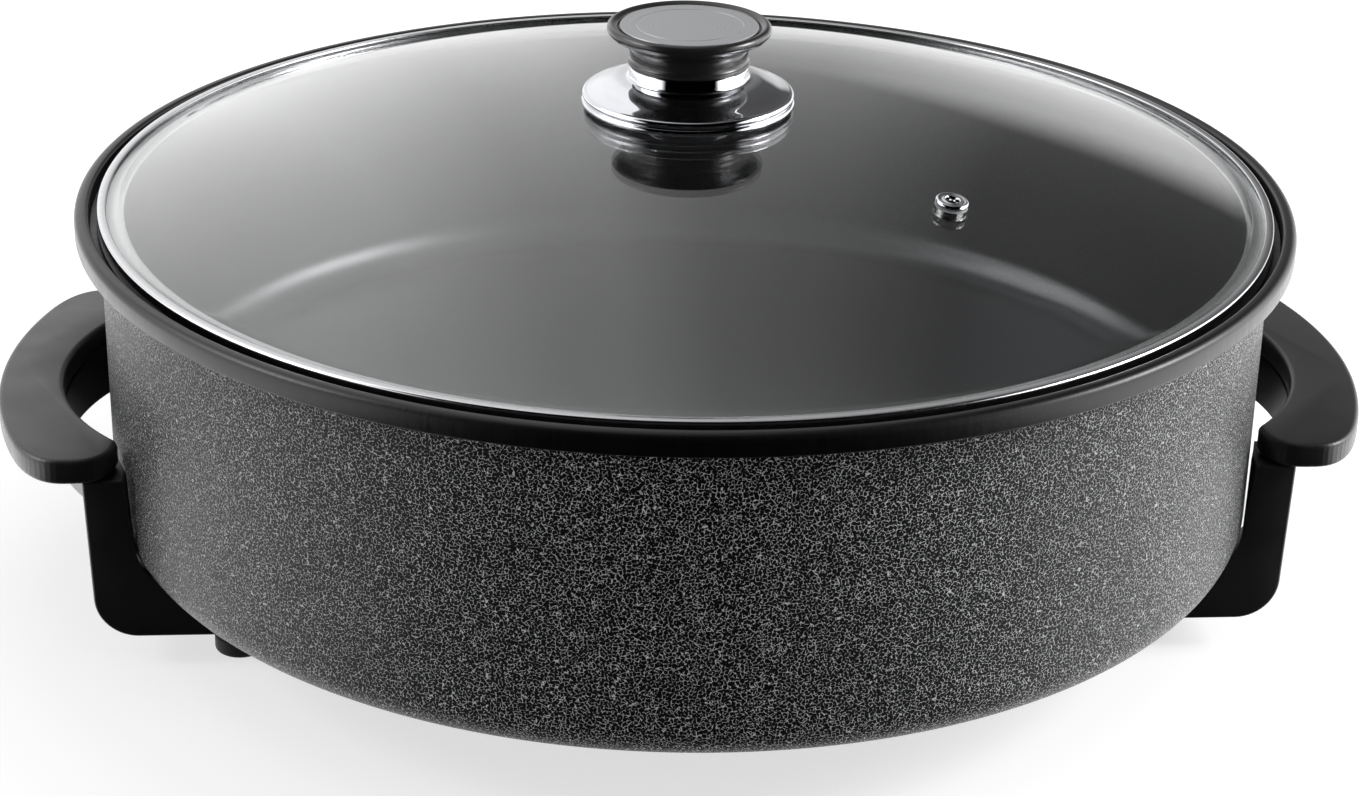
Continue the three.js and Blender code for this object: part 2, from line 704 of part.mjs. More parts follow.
function knobDisc() {
  const z = neckTopZ + seat + knob.height - knob.recess + seat;
  const radius = knob.recessRadius - knob.discGap;
  const edge = knob.disc / 3;
  const profile = [[0, z], [radius, z], [radius, z + knob.disc - edge], [radius - edge, z + knob.disc]];
  return turned([...profile, [0, z + knob.disc]], knobFaces);
}

function knobInsert() {
  const base = collarWebZ + collar.wall + seat;
  const bore = screw.shank + running;
  const radius = knob.insertRadius;
  const profile = [[bore, base], [radius, base], [radius, base + knob.insertLength]];
  return ring([...profile, [bore, base + knob.insertLength]], smallFaces);
}

// A flat ring at the middle of the lid.
function lidWasher(bore, radius, from, to) {
  return ring([[bore, from], [radius, from], [radius, to], [bore, to]], smallFaces);
}

// The upper gasket fills the gap between the crown and the collar's web; it is thinner at its middle.
function upperGasket() {
  const bore = lid.knobHole;
  const radius = clamp.gasketRadius;
  const top = collarWebZ - seat;
  const profile = [[bore, domeZ(bore) + seat], [radius, domeZ(radius) + seat], [radius, top], [bore, top]];
  return ring(profile, smallFaces);
}

const lowerGasketTop = crownZ - lid.glass - seat - (crownZ - domeZ(clamp.lowerGasketRadius));
const washerTop = lowerGasketTop - clamp.lowerGasket - seat;

function lowerGasket() {
  return lidWasher(lid.knobHole, clamp.lowerGasketRadius, lowerGasketTop - clamp.lowerGasket, lowerGasketTop);
}

function clampWasher() {
  return lidWasher(screw.shank + running, clamp.washerRadius, washerTop - clamp.washer, washerTop);
}

function knobScrew() {
  const under = washerTop - clamp.washer;
  return upScrew(under, collarWebZ + clamp.screwReach - under);
}

// The steam eyelet: a rolled head above the glass, a tube through it and a flared flange below.
function ventEyelet() {
  const headLow = vent.washer + 2 * seat;
  const bottom = -lid.glass - seat - vent.flangeWall;
  const { radius, height, tubeRadius, bore, flange, flangeWall } = vent;
  const roll = height / 2;
  const profile = [
    [bore, bottom],
    [flange, bottom],
    [flange, bottom + flangeWall],
    [tubeRadius, bottom + flangeWall],
    [tubeRadius, headLow],
    ...arc(radius - roll, headLow + roll, roll, -90, 90, roundSteps),
    [(radius + bore) / 2, headLow + height * vent.crownShare],
    [bore + flangeWall, headLow + height],
    [bore, headLow + height - flangeWall / 2],
  ];
  return atVent(ring(profile, smallFaces));
}

function ventWasher() {
  const profile = [[vent.tubeRadius + running, seat], [vent.radius, seat]];
  profile.push([vent.radius, seat + vent.washer], [vent.tubeRadius + running, seat + vent.washer]);
  return atVent(ring(profile, smallFaces));
}

// Finishes
const finish = (color, roughness, metalness = 0) => () =>
  new THREE.MeshStandardMaterial({ color, roughness, metalness, flatShading: true });
const hammered = finish('#3b3b3d', 0.45, 0.2);
const phenolic = finish('#2a2a2b', 0.6);
const glossBlack = finish('#0d0d0e', 0.15);
const satinDisc = finish('#6b6b6d', 0.4, 0.5);
const chrome = finish('#d9dadc', 0.08, 1);
const steel = finish('#b9babd', 0.25, 1);
const brass = finish('#b99a56', 0.3, 1);
const rubber = finish('#141414', 0.8);
const silicone = finish('#8d8f90', 0.6);
const ceramic = finish('#e9e6de', 0.5);
const sheath = finish('#5b5a56', 0.5, 0.8);
const glass = () => new THREE.MeshStandardMaterial({
  color: '#c9d2d2', roughness: 0.05, metalness: 0, transparent: true, opacity: 0.35, flatShading: true,
});

// Puts a solid into a group as a mesh of its own.
function add(group, name, body, material) {
  const mesh = new THREE.Mesh(geometryOf(body), material());
  mesh.name = name;
  group.add(mesh);
}

// One side's legs, grip, feet and screws, made at +X; the left side is the same turned half round.
function sideGroup(side) {
  const group = new THREE.Group();
  add(group, `leg_frame_${side}`, legFrame(), phenolic);
  add(group, `handle_grip_${side}`, handleGrip(), phenolic);
  const fronts = side === 'right' ? { front: -1, rear: 1 } : { front: 1, rear: -1 };
  const headSeat = foot.height + leg.armHeight - leg.screwLedge;
  const gripSeat = grip.underside - seat - leg.wall;
  for (const [end, across] of Object.entries(fronts)) {
    const y = across * leg.screwAcross;
    add(group, `foot_${side}_${end}`, footPad().translate(footReach, y, 0), rubber);
    const legScrew = upScrew(headSeat, baseZ + pan.bossHoleDepth - seat - headSeat);
    add(group, `leg_screw_${side}_${end}`, legScrew.translate(legScrewReach, y, 0), steel);
    const gripScrew = upScrew(gripSeat, grip.underside + grip.holeDepth - seat - gripSeat);
    add(group, `grip_screw_${side}_${end}`, gripScrew.translate(gripScrewReach, y, 0), steel);
  }
  group.rotation.z = side === 'right' ? 0 : Math.PI;
  return group;
}

// The socket at +X, with the element that feeds it.
function heaterGroup() {
  const group = new THREE.Group();
  add(group, 'heating_element', heatingElement(), sheath);
  add(group, 'probe_tube', probeTube(), steel);
  add(group, 'socket_housing', socketHousing(), steel);
  add(group, 'earth_contact', earthContact(), brass);
  for (const [end, side] of [['front', -1], ['rear', 1]]) {
    add(group, `terminal_bead_${end}`, terminalBead(side), ceramic);
    add(group, `terminal_pin_${end}`, terminalPin(side), steel);
    const under = baseZ + socket.under;
    const into = socket.wall + seat + pan.bossHoleDepth - seat;
    const [x, y] = socketPlaces[side < 0 ? 0 : 1];
    add(group, `socket_screw_${end}`, upScrew(under, into).translate(x, y, 0), steel);
  }
  return group;
}

// The loose lid with its knob and vent.
function lidGroup() {
  const group = new THREE.Group();
  add(group, 'lid_glass', lidGlass(), glass);
  add(group, 'lid_ring', lidRing(), steel);
  add(group, 'knob_collar', knobCollar(), chrome);
  add(group, 'knob_body', knobBody(), glossBlack);
  add(group, 'knob_disc', knobDisc(), satinDisc);
  add(group, 'knob_insert', knobInsert(), brass);
  add(group, 'knob_gasket_upper', upperGasket(), silicone);
  add(group, 'knob_gasket_lower', lowerGasket(), silicone);
  add(group, 'knob_washer', clampWasher(), steel);
  add(group, 'knob_screw', knobScrew(), steel);
  add(group, 'vent_eyelet', ventEyelet(), chrome);
  add(group, 'vent_washer', ventWasher(), silicone);
  return group;
}

const electricPan = new THREE.Group();
add(electricPan, 'pan_body', panBody(), hammered);
electricPan.add(heaterGroup(), sideGroup('left'), sideGroup('right'), lidGroup());
electricPan.updateMatrixWorld(true);

export default electricPan;
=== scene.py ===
"""Looks, light and camera of a round electric pan with a loose domed glass lid.

Sizes are in millimetres, as in the part: +Z up from the table, the axis of the pan through the origin, one
grip at -X and one at +X, the viewer at -Y. Meshes are made in metres.
"""
import json
import logging
import math
from dataclasses import dataclass
from enum import Enum
from typing import Callable, ClassVar

import bmesh
import bpy
from mathutils import Matrix, Vector


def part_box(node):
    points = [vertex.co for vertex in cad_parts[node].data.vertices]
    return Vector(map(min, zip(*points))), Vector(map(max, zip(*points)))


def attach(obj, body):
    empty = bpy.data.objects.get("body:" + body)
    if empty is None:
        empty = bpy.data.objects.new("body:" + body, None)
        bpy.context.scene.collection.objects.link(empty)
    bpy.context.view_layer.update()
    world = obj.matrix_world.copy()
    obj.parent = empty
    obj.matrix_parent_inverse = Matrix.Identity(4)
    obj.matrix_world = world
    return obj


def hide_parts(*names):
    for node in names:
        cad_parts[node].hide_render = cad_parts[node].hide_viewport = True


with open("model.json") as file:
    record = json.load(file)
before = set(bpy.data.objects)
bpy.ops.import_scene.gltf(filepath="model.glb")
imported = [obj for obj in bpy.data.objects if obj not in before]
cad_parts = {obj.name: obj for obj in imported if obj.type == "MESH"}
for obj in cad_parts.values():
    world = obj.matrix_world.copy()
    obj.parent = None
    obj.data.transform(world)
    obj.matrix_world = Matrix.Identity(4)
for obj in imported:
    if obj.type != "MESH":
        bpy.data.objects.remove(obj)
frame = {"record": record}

log = logging.getLogger("electric_pan")
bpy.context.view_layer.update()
Point = tuple[float, float]
Place = tuple[float, float, float]
Piece = bpy.types.Object

DOUBLES = 2e-6  # vertices this near become one, in metres
OVERRUN = 4.0  # how far a tool reaches past the face that it cuts
SCREW_HOLE = 2.3  # radius of the hole for a screw's shank
HEAD_ROOM = 4.1  # radius of the room for its head
LEG_SCREW = (151.5, 54.0)  # where the leg screws stand, out along X and across
SOCKET_SCREW = (141.0, 24.0)


class Sign(Enum):
    """A choice between the two ways along an axis."""

    @property
    def word(self) -> str:
        """The choice's word in node names."""
        return self.name.lower()


class Side(Sign):
    """The two sides of the pan, by the sign of X."""

    LEFT = -1
    RIGHT = 1


class End(Sign):
    """Front or rear, by the sign of Y."""

    FRONT = -1
    REAR = 1


class Way(Enum):
    """How a tool shapes a piece."""

    CUT = "DIFFERENCE"
    WELD = "UNION"


# Measures and outlines


def metres(value: float) -> float:
    """Millimetres to metres."""
    return value / 1000


def arc(centre: Point, radius: float, start: float, end: float, steps: int) -> list[Point]:
    """Points along an arc from one angle to another in degrees, both ends included."""
    angles = [math.radians(start + (end - start) * i / steps) for i in range(steps + 1)]
    return [(centre[0] + radius * math.cos(a), centre[1] + radius * math.sin(a)) for a in angles]


def corner(x: float, z: float, radius: float, start: float, steps: int) -> list[Point]:
    """A quarter round in place of a sharp corner, from this angle on: 0 for one that points out and up."""
    way_x = -radius if start in (-90, 0) else radius
    way_z = -radius if start in (0, 90) else radius
    return arc((x + way_x, z + way_z), radius, start, start + 90, steps)


def flowing(points: list[Point], steps: int) -> list[Point]:
    """A smooth line through given points.

    Args:
        points: the points that the line passes.
        steps: chords between two of them.

    Returns:
        The points of the line, the given ones included.
    """
    padded = [points[0], *points, points[-1]]
    line = [points[0]]
    for a, b, c, d in zip(padded, padded[1:], padded[2:], padded[3:]):
        for i in range(1, steps + 1):
            t = i / steps
            line.append(tuple(
                0.5 * (2 * q + (r - p) * t + (2 * p - 5 * q + 4 * r - s) * t * t
                       + (3 * q - p - 3 * r + s) * t ** 3)
                for p, q, r, s in zip(a, b, c, d)
            ))
    return line


def bend(a: Point, b: Point, c: Point, steps: int) -> list[Point]:
    """Points of a curve from a to c that leaves and arrives towards b, its first point left out."""
    shares = [i / steps for i in range(1, steps + 1)]
    return [tuple(p * (1 - t) ** 2 + 2 * q * t * (1 - t) + r * t * t for p, q, r in zip(a, b, c))
            for t in shares]


def facing(back: Vector) -> tuple[Vector, Vector, Vector]:
    """Right, up and back of a camera or lamp that looks away from back."""
    right = Vector((0, 0, 1)).cross(back).normalized()
    return right, back.cross(right), back


def middle(node: str) -> Vector:
    """Middle of a CAD node's box, in metres."""
    low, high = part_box(node)
    return (Vector(low) + Vector(high)) / 2


# Modelling by hand


def choose(piece: Piece) -> None:
    """Selects one object alone and makes it active."""
    bpy.ops.object.select_all(action="DESELECT")
    piece.select_set(True)
    bpy.context.view_layer.objects.active = piece


def named(piece: Piece, name: str) -> Piece:
    """Names a piece and its mesh."""
    piece.name = piece.data.name = name
    return piece


def begin(name: str, start: Place) -> Piece:
    """Starts a piece in edit mode as one vertex at a place in millimetres, its origin at the world's."""
    bpy.ops.object.select_all(action="DESELECT")
    bpy.ops.mesh.primitive_plane_add(size=0.002, location=(0, 0, 0))
    piece = named(bpy.context.active_object, name)
    bpy.ops.object.mode_set(mode="EDIT")
    bpy.ops.mesh.select_mode(type="VERT")
    bpy.ops.mesh.select_all(action="SELECT")
    bpy.ops.mesh.merge(type="CENTER")
    bpy.ops.transform.translate(value=[metres(v) for v in start])
    return piece


def draw(points: list[Place]) -> None:
    """Draws a line in millimetres on from the selected vertex, which stands at its first point."""
    for before, after in zip(points, points[1:]):
        step = [metres(b - a) for a, b in zip(before, after)]
        bpy.ops.mesh.extrude_region_move(TRANSFORM_OT_translate={"value": step})
    bpy.ops.mesh.select_all(action="SELECT")


def close_up() -> None:
    """Merges doubles, turns the faces out and leaves edit mode."""
    bpy.ops.mesh.select_all(action="SELECT")
    bpy.ops.mesh.remove_doubles(threshold=DOUBLES)
    bpy.ops.mesh.normals_make_consistent(inside=False)
    bpy.ops.object.mode_set(mode="OBJECT")


def lathe(name: str, profile: list[Point], steps: int, sweep: float = 360.0, start: float = 0.0) -> Piece:
    """Turns a profile about the Z axis.

    Args:
        name: name of the piece.
        profile: radius and height pairs; it ends on the axis or on its first point.
        steps: number of facets round.
        sweep: degrees to turn through.
        start: degrees from +X where a part turn starts.

    Returns:
        The turned piece.
    """
    piece = begin(name, (profile[0][0], 0, profile[0][1]))
    draw([(radius, 0, height) for radius, height in profile])
    bpy.ops.mesh.spin(steps=steps, angle=math.radians(sweep), center=(0, 0, 0), axis=(0, 0, 1))
    if sweep < 360:
        bpy.ops.mesh.select_all(action="SELECT")
        bpy.ops.mesh.remove_doubles(threshold=DOUBLES)
        bpy.ops.mesh.fill_holes(sides=0)
    close_up()
    if start:
        placed(piece, turned(start))
    return piece


def slab(name: str, corners: list[Place], push: Place) -> Piece:
    """Fills an outline and pushes it out into a plate."""
    piece = begin(name, corners[0])
    draw(corners)
    bpy.ops.mesh.edge_face_add()
    bpy.ops.mesh.extrude_region_move(TRANSFORM_OT_translate={"value": [metres(v) for v in push]})
    close_up()
    return piece


def brick(name: str, low: Place, high: Place) -> Piece:
    """A block between two corners, to be shaped further."""
    size = [metres(b - a) for a, b in zip(low, high)]
    centre = [metres(a + b) / 2 for a, b in zip(low, high)]
    bpy.ops.object.select_all(action="DESELECT")
    bpy.ops.mesh.primitive_cube_add(size=1, location=centre, scale=size)
    bpy.ops.object.transform_apply(location=True, rotation=True, scale=True)
    return named(bpy.context.active_object, name)


def round_edges(piece: Piece, test: Callable[[Vector, Vector], bool], size: float, steps: int) -> None:
    """Bevels the edges that a test picks.

    Args:
        piece: the piece to work on.
        test: takes the two ends of an edge, in millimetres.
        size: width of the rounding in millimetres.
        steps: segments of the rounding.
    """
    choose(piece)
    bpy.ops.object.mode_set(mode="EDIT")
    bpy.ops.mesh.select_mode(type="EDGE")
    bpy.ops.mesh.select_all(action="DESELECT")
    mesh = bmesh.from_edit_mesh(piece.data)
    for edge in mesh.edges:
        a, b = (vertex.co * 1000 for vertex in edge.verts)
        edge.select = test(a, b)
    mesh.select_flush(True)
    bmesh.update_edit_mesh(piece.data)
    bpy.ops.mesh.bevel(offset=metres(size), segments=steps, affect="EDGES")
    bpy.ops.object.mode_set(mode="OBJECT")


def work(piece: Piece, way: Way, *tools: Piece) -> None:
    """Cuts a piece with tools, or welds them to it, and uses the tools up."""
    for tool in tools:
        step = piece.modifiers.new(way.name.lower(), "BOOLEAN")
        step.operation = way.value
        step.object = tool
        step.solver = "MANIFOLD"
        choose(piece)
        bpy.ops.object.modifier_apply(modifier=step.name)
        bpy.data.objects.remove(tool)


def placed(piece: Piece, matrix: Matrix) -> Piece:
    """Moves a piece and keeps its place in its mesh."""
    choose(piece)
    piece.matrix_world = matrix @ piece.matrix_world
    bpy.ops.object.transform_apply(location=True, rotation=True, scale=True)
    return piece


def shifted(x: float, y: float, z: float) -> Matrix:
    """A move in millimetres."""
    return Matrix.Translation([metres(x), metres(y), metres(z)])


def turned(degrees: float, axis: str = "Z") -> Matrix:
    """A turn about an axis through the origin."""
    return Matrix.Rotation(math.radians(degrees), 4, axis)


def post(radius: float, low: float, high: float, x: float = 0.0, y: float = 0.0, steps: int = 32) -> Piece:
    """A plain round tool that stands upright, used up in a cut."""
    line = [(0, low), (radius, low), (radius, high), (0, high)]
    return placed(lathe("post", line, steps), shifted(x, y, 0))


def copied(piece: Piece, name: str) -> Piece:
    """A copy of a piece with a mesh of its own."""
    choose(piece)
    bpy.ops.object.duplicate(linked=False)
    return named(bpy.context.active_object, name)


def joined(piece: Piece, *others: Piece) -> None:
    """Joins other pieces into one."""
    choose(piece)
    for each in others:
        each.select_set(True)
    bpy.ops.object.join()


# Finishes


Socket = bpy.types.NodeSocket
Inputs = dict[str | int, object]
SOFT = "SMOOTHSTEP"
WHITE = (1, 1, 1, 1)
NOISE = (0.3, 0.7)  # most of a noise lies between these


def linear(code: str) -> tuple[float, float, float, float]:
    """An sRGB hex colour as linear RGBA."""
    parts = [int(code[i:i + 2], 16) / 255 for i in (1, 3, 5)]
    return (*(v / 12.92 if v <= 0.04045 else ((v + 0.055) / 1.055) ** 2.4 for v in parts), 1.0)


def per_mm(size: float) -> float:
    """Scale of a pattern on Object coordinates whose features are this many millimetres."""
    return 1000 / size


class Graph:
    """A node tree that starts empty; each of its short calls gives the socket with the result."""

    def __init__(self, tree: bpy.types.NodeTree) -> None:
        """Empties the tree."""
        self.tree = tree
        tree.nodes.clear()

    def add_node(self, kind: str, inputs: Inputs | None = None, **settings: object) -> bpy.types.Node:
        """Adds a node with its settings and links.

        Args:
            kind: type name of the node after the word ShaderNode.
            inputs: values or output sockets, by the input's name or number.
            settings: properties of the node.

        Returns:
            The node.
        """
        node = self.tree.nodes.new(f"ShaderNode{kind}")
        for name, value in settings.items():
            setattr(node, name, value)
        for key, value in (inputs or {}).items():
            if isinstance(value, Socket):
                self.tree.links.new(value, node.inputs[key])
            else:
                node.inputs[key].default_value = value
        return node

    def place(self) -> Socket:
        """Object coordinates, in metres."""
        return self.add_node("TexCoord").outputs["Object"]

    def parts(self, vector: Socket) -> list[Socket]:
        """X, Y and Z of a vector."""
        return list(self.add_node("SeparateXYZ", {0: vector}).outputs)

    def flat(self, x: Socket, y: Socket) -> Socket:
        """A vector of two numbers."""
        return self.add_node("CombineXYZ", {0: x, 1: y}).outputs[0]

    def measure(self, operation: str, *vectors: Socket | Place) -> Socket:
        """A number worked out from one or two vectors."""
        return self.add_node("VectorMath", dict(enumerate(vectors)), operation=operation).outputs["Value"]

    def maths(self, operation: str, *values: Socket | float) -> Socket:
        """A number worked out from one or two numbers."""
        return self.add_node("Math", dict(enumerate(values)), operation=operation).outputs[0]

    def noise(self, place: Socket, size: float, detail: float, rough: float = 0.5) -> Socket:
        """A noise with features of this many millimetres."""
        inputs = {"Vector": place, "Scale": per_mm(size), "Detail": detail, "Roughness": rough}
        return self.add_node("TexNoise", inputs).outputs["Fac"]

    def span(self, value: Socket, start: float, end: float, low: float = 0.0, high: float = 1.0,
             kind: str = "LINEAR") -> Socket:
        """Brings the way from start to end to the way from low to high, and holds it there beyond."""
        inputs = {"Value": value, "From Min": start, "From Max": end, "To Min": low, "To Max": high}
        return self.add_node("MapRange", inputs, interpolation_type=kind).outputs[0]

    def about(self, value: Socket, start: float, end: float, centre: float, spread: float) -> Socket:
        """Brings the way from start to end to a spread on both sides of a number."""
        return self.span(value, start, end, centre - spread, centre + spread)

    def blend(self, share: Socket, first: str, second: str) -> Socket:
        """A colour between two hex colours."""
        inputs = {0: share, 6: linear(first), 7: linear(second)}
        return self.add_node("Mix", inputs, data_type="RGBA").outputs[2]

    def between(self, share: Socket, first: Socket | float, second: Socket | float) -> Socket:
        """A number between two numbers."""
        return self.add_node("Mix", {0: share, 2: first, 3: second}, data_type="FLOAT").outputs[0]

    def relief(self, height: Socket, strength: float, depth: float) -> Socket:
        """A bump, this many millimetres deep at full strength."""
        inputs = {"Height": height, "Strength": strength, "Distance": metres(depth)}
        return self.add_node("Bump", inputs).outputs[0]


@dataclass(frozen=True)
class Finish:
    """A finish that is made once and shared by the pieces that have it."""

    name: str = "finish"

    def material(self) -> bpy.types.Material:
        """The finish as a material."""
        made = bpy.data.materials.get(self.name)
        if made is None:
            made = bpy.data.materials.new(self.name)
            made.use_nodes = True
            graph = Graph(made.node_tree)
            shader = graph.add_node("BsdfPrincipled", self.dress(graph))
            graph.add_node("OutputMaterial", {"Surface": shader.outputs["BSDF"]})
        return made

    def dress(self, graph: Graph) -> Inputs:
        """Adds the finish's own nodes and gives the shader's inputs."""
        raise NotImplementedError


@dataclass(frozen=True)
class HammertoneEnamel(Finish):
    """Stoved hammertone enamel on cast aluminium: light metallic worms stand out of a near-black ground;
    their light colour is partly the enamel's own pattern and partly painted glints off the hammered bumps.
    """

    name: str = "hammertone_enamel"
    ground: str = "#050506"
    # The light worm colour is partly a painted highlight: it stands in for glints of light off the hammered
    # bumps.
    worm: str = "#dcdddf"
    cell: float = 1.1
    border: float = 0.085  # how far a worm reaches from its cell's edge
    gaps: tuple[float, float] = (0.4, 0.54)  # the finer noise that leaves a worm out, and lets it show
    roughness: tuple[float, float] = (0.48, 0.34)  # of the ground and of the worms

    def dress(self, graph: Graph) -> Inputs:
        """Worms run along the borders of fine cells, and a finer noise breaks them into short strokes; their
        light colour paints glints off the bumps.
        """
        place = graph.place()
        cells = graph.add_node("TexVoronoi", {"Vector": place, "Scale": per_mm(self.cell)},
                               feature="DISTANCE_TO_EDGE")
        worm = graph.span(cells.outputs["Distance"], self.border, 0.0, kind=SOFT)
        whole = graph.span(graph.noise(place, self.cell / 2, 0.0), *self.gaps)
        shown = graph.maths("MULTIPLY", worm, whole)
        return {
            # The blend paints glints: light worm colour over the dark ground.
            "Base Color": graph.blend(shown, self.ground, self.worm),
            "Roughness": graph.span(shown, 0, 1, *self.roughness),
            "Normal": graph.relief(shown, strength=0.55, depth=0.12),
            "Metallic": 0.05,
            "Specular IOR Level": 0.2,
        }


@dataclass(frozen=True)
class RimEnamel(Finish):
    """The same enamel, wiped thin on the machined band: near black, with fine upright streaks."""

    name: str = "rim_enamel"
    dark: str = "#020202"
    light: str = "#0b0b0c"
    streak: float = 1.1
    grit: float = 0.7
    radius: float = 0.186  # of the rim in metres, which turns the angle about Z into a length
    stretch: float = 0.12  # how much the height counts, so that the streaks stand upright

    def dress(self, graph: Graph) -> Inputs:
        """Streaks follow the way round the band, so the pattern reads the angle about Z."""
        place = graph.place()
        x, y, z = graph.parts(place)
        round_way = graph.maths("MULTIPLY", graph.maths("ARCTAN2", y, x), self.radius)
        drawn = graph.flat(round_way, graph.maths("MULTIPLY", z, self.stretch))
        streaks = graph.noise(drawn, self.streak, 3.0, 0.6)
        return {
            "Base Color": graph.blend(streaks, self.dark, self.light),
            "Roughness": graph.span(streaks, *NOISE, 0.28, 0.38),
            "Normal": graph.relief(graph.noise(place, self.grit, 1.0), strength=0.3, depth=0.08),
            "Specular IOR Level": 0.3,
        }


@dataclass(frozen=True)
class NonStickCoat(Finish):
    """Sprayed fluoropolymer with metal flake: dark satin grey that lights up where it turns to a lamp."""

    name: str = "non_stick_coat"
    base: str = "#49494b"
    speck: str = "#515153"
    grain: float = 0.8

    def dress(self, graph: Graph) -> Inputs:
        """Speckle in the colour, orange peel in the bump."""
        speckle = graph.noise(graph.place(), self.grain, 2.0)
        share = graph.span(speckle, 0.42, 0.68)
        return {
            "Base Color": graph.blend(share, self.base, self.speck),
            "Roughness": graph.span(share, 0, 1, 0.29, 0.305),
            "Normal": graph.relief(speckle, strength=0.005, depth=0.02),
            "Metallic": 0.8,
        }


@dataclass(frozen=True)
class MouldedPhenolic(Finish):
    """Phenolic compression moulding; a textured tool gives a soft sheen, and a polished one a deep gloss."""

    name: str = "moulded_phenolic"
    base: str = "#141415"
    flow: str = "#1b1b1c"
    grain: float = 0.6
    roughness: float = 0.5
    relief: float = 0.18
    stream: float = 14.0  # size of the flow marks

    def dress(self, graph: Graph) -> Inputs:
        """Slow flow marks in the colour and sheen, the tool's grain in the bump."""
        place = graph.place()
        flow = graph.noise(place, self.stream, 4.0)
        return {
            "Base Color": graph.blend(flow, self.base, self.flow),
            "Roughness": graph.span(flow, *NOISE, self.roughness * 0.9, self.roughness * 1.1),
            "Normal": graph.relief(graph.noise(place, self.grain, 1.5), strength=self.relief, depth=0.06),
        }


@dataclass(frozen=True)
class Metal(Finish):
    """A metal whose making leaves a fine mark: plated, buffed, pressed, drawn, turned or scaled by heat."""

    name: str = "metal"
    base: str = "#c9c9cb"
    mark: str = "#b5b5b8"
    grain: float = 1.2
    roughness: float = 0.2
    spread: float = 0.06  # how far the marks move the roughness
    relief: float = 0.05

    def dress(self, graph: Graph) -> Inputs:
        """Marks of handling and making in colour, roughness and bump."""
        marks = graph.noise(graph.place(), self.grain, 4.0, 0.65)
        return {
            "Base Color": graph.blend(marks, self.base, self.mark),
            "Roughness": graph.about(marks, *NOISE, self.roughness, self.spread),
            "Normal": graph.relief(marks, strength=self.relief, depth=0.03),
            "Metallic": 1.0,
        }


@dataclass(frozen=True)
class SpunDisc(Finish):
    """Anodised aluminium disc faced on a lathe: fine rings round its middle, and a grey satin film."""

    name: str = "spun_anodised_disc"
    base: str = "#b4b5b8"
    line: str = "#8e8f92"
    pitch: float = 0.45  # the real tool marks are finer than the picture can show

    def dress(self, graph: Graph) -> Inputs:
        """Rings read the distance from the knob's axis."""
        x, y, _ = graph.parts(graph.place())
        reach = graph.measure("LENGTH", graph.flat(x, y))
        rings = graph.add_node("TexNoise", {"W": reach, "Scale": per_mm(self.pitch), "Detail": 2.0},
                               noise_dimensions="1D").outputs["Fac"]
        return {
            "Base Color": graph.blend(rings, self.base, self.line),
            "Roughness": graph.span(rings, 0, 1, 0.28, 0.4),
            "Normal": graph.relief(rings, strength=0.12, depth=0.03),
            "Metallic": 0.6,
        }


@dataclass(frozen=True)
class TemperedGlass(Finish):
    """Clear soda-lime glass, pressed and tempered: sharp reflections with the faint waves of its cooling."""

    name: str = "tempered_glass"
    tint: str = "#fafcfb"
    wave: float = 45.0
    smear: float = 9.0

    def dress(self, graph: Graph) -> Inputs:
        """Waves in the bump, a trace of wiping in the roughness."""
        place = graph.place()
        return {
            "Base Color": linear(self.tint),
            "Roughness": graph.span(graph.noise(place, self.smear, 3.0), 0.45, 0.75, 0.0, 0.012),
            "Normal": graph.relief(graph.noise(place, self.wave, 0.0), strength=0.05, depth=0.3),
            "Transmission Weight": 1.0,
            "IOR": 1.52,
        }


@dataclass(frozen=True)
class Filled(Finish):
    """A filled, dull material: moulded rubber, pressed silicone or fired steatite, grainy close up."""

    name: str = "filled"
    base: str = "#101010"
    grain_colour: str = "#1c1c1c"
    grain: float = 0.5
    roughness: float = 0.8
    relief: float = 0.25
    patch: float = 6.0  # size of the patches that differ in sheen
    spread: float = 0.08  # and by how much

    def dress(self, graph: Graph) -> Inputs:
        """Grain in colour and bump, slow change in roughness."""
        place = graph.place()
        grain, slow = graph.noise(place, self.grain, 3.0), graph.noise(place, self.patch, 2.0)
        return {
            "Base Color": graph.blend(grain, self.base, self.grain_colour),
            "Roughness": graph.about(slow, 0, 1, self.roughness, self.spread),
            "Normal": graph.relief(grain, strength=self.relief, depth=0.05),
        }


HAMMERTONE = HammertoneEnamel()
RIM = RimEnamel()
NON_STICK = NonStickCoat()
# Textured tool: a matt black with a soft sheen, as on grips and legs
MATT_PHENOLIC = MouldedPhenolic("matt_phenolic", "#131314", "#1a1a1b", 0.6, 0.38, 0.12)
# Polished tool: a deep black gloss that mirrors the lamps, as on the knob
GLOSS_PHENOLIC = MouldedPhenolic("gloss_phenolic", "#030303", "#060606", 2.5, 0.07, 0.01)
DISC = SpunDisc()
GLASS = TemperedGlass()
# Bright chromium over nickel on pressed steel: a sharp mirror, slightly cool
CHROME = Metal("chromium_plate", "#cbccd0", "#c5c6ca", 3.0, 0.05, 0.02, 0.01)
# Stainless strip, rolled and buffed: bright, a little softer than chromium
STAINLESS = Metal("buffed_stainless", "#d2d2d4", "#c4c4c7", 1.5, 0.16, 0.05, 0.03)
# Deep-drawn steel shroud with a dull passivated film: mid grey and soft
DRAWN = Metal("passivated_drawn_steel", "#8b8c90", "#7c7d81", 1.2, 0.42, 0.06, 0.05)
# Chromed steel below the eyelet's head, inside and under the glass: dark and soft, as painted shade under the
# head
UNDER_HEAD_SHADE = Metal("steamed_steel", "#353537", "#2a2a2c", 0.8, 0.5, 0.08, 0.08)
# Zinc-plated steel screws and pins: grey bright metal with a mottled film
ZINC = Metal("zinc_plated_steel", "#b4b7bb", "#9da0a6", 0.8, 0.3, 0.08, 0.08)
# Turned or stamped brass: warm yellow, slightly dulled
BRASS = Metal("stamped_brass", "#c9a24f", "#b48c3f", 0.9, 0.3, 0.08, 0.06)
# Nickel alloy sheath after firing: brownish grey oxide, dull
SHEATH = Metal("fired_sheath", "#5d5850", "#474440", 1.6, 0.5, 0.1, 0.15)
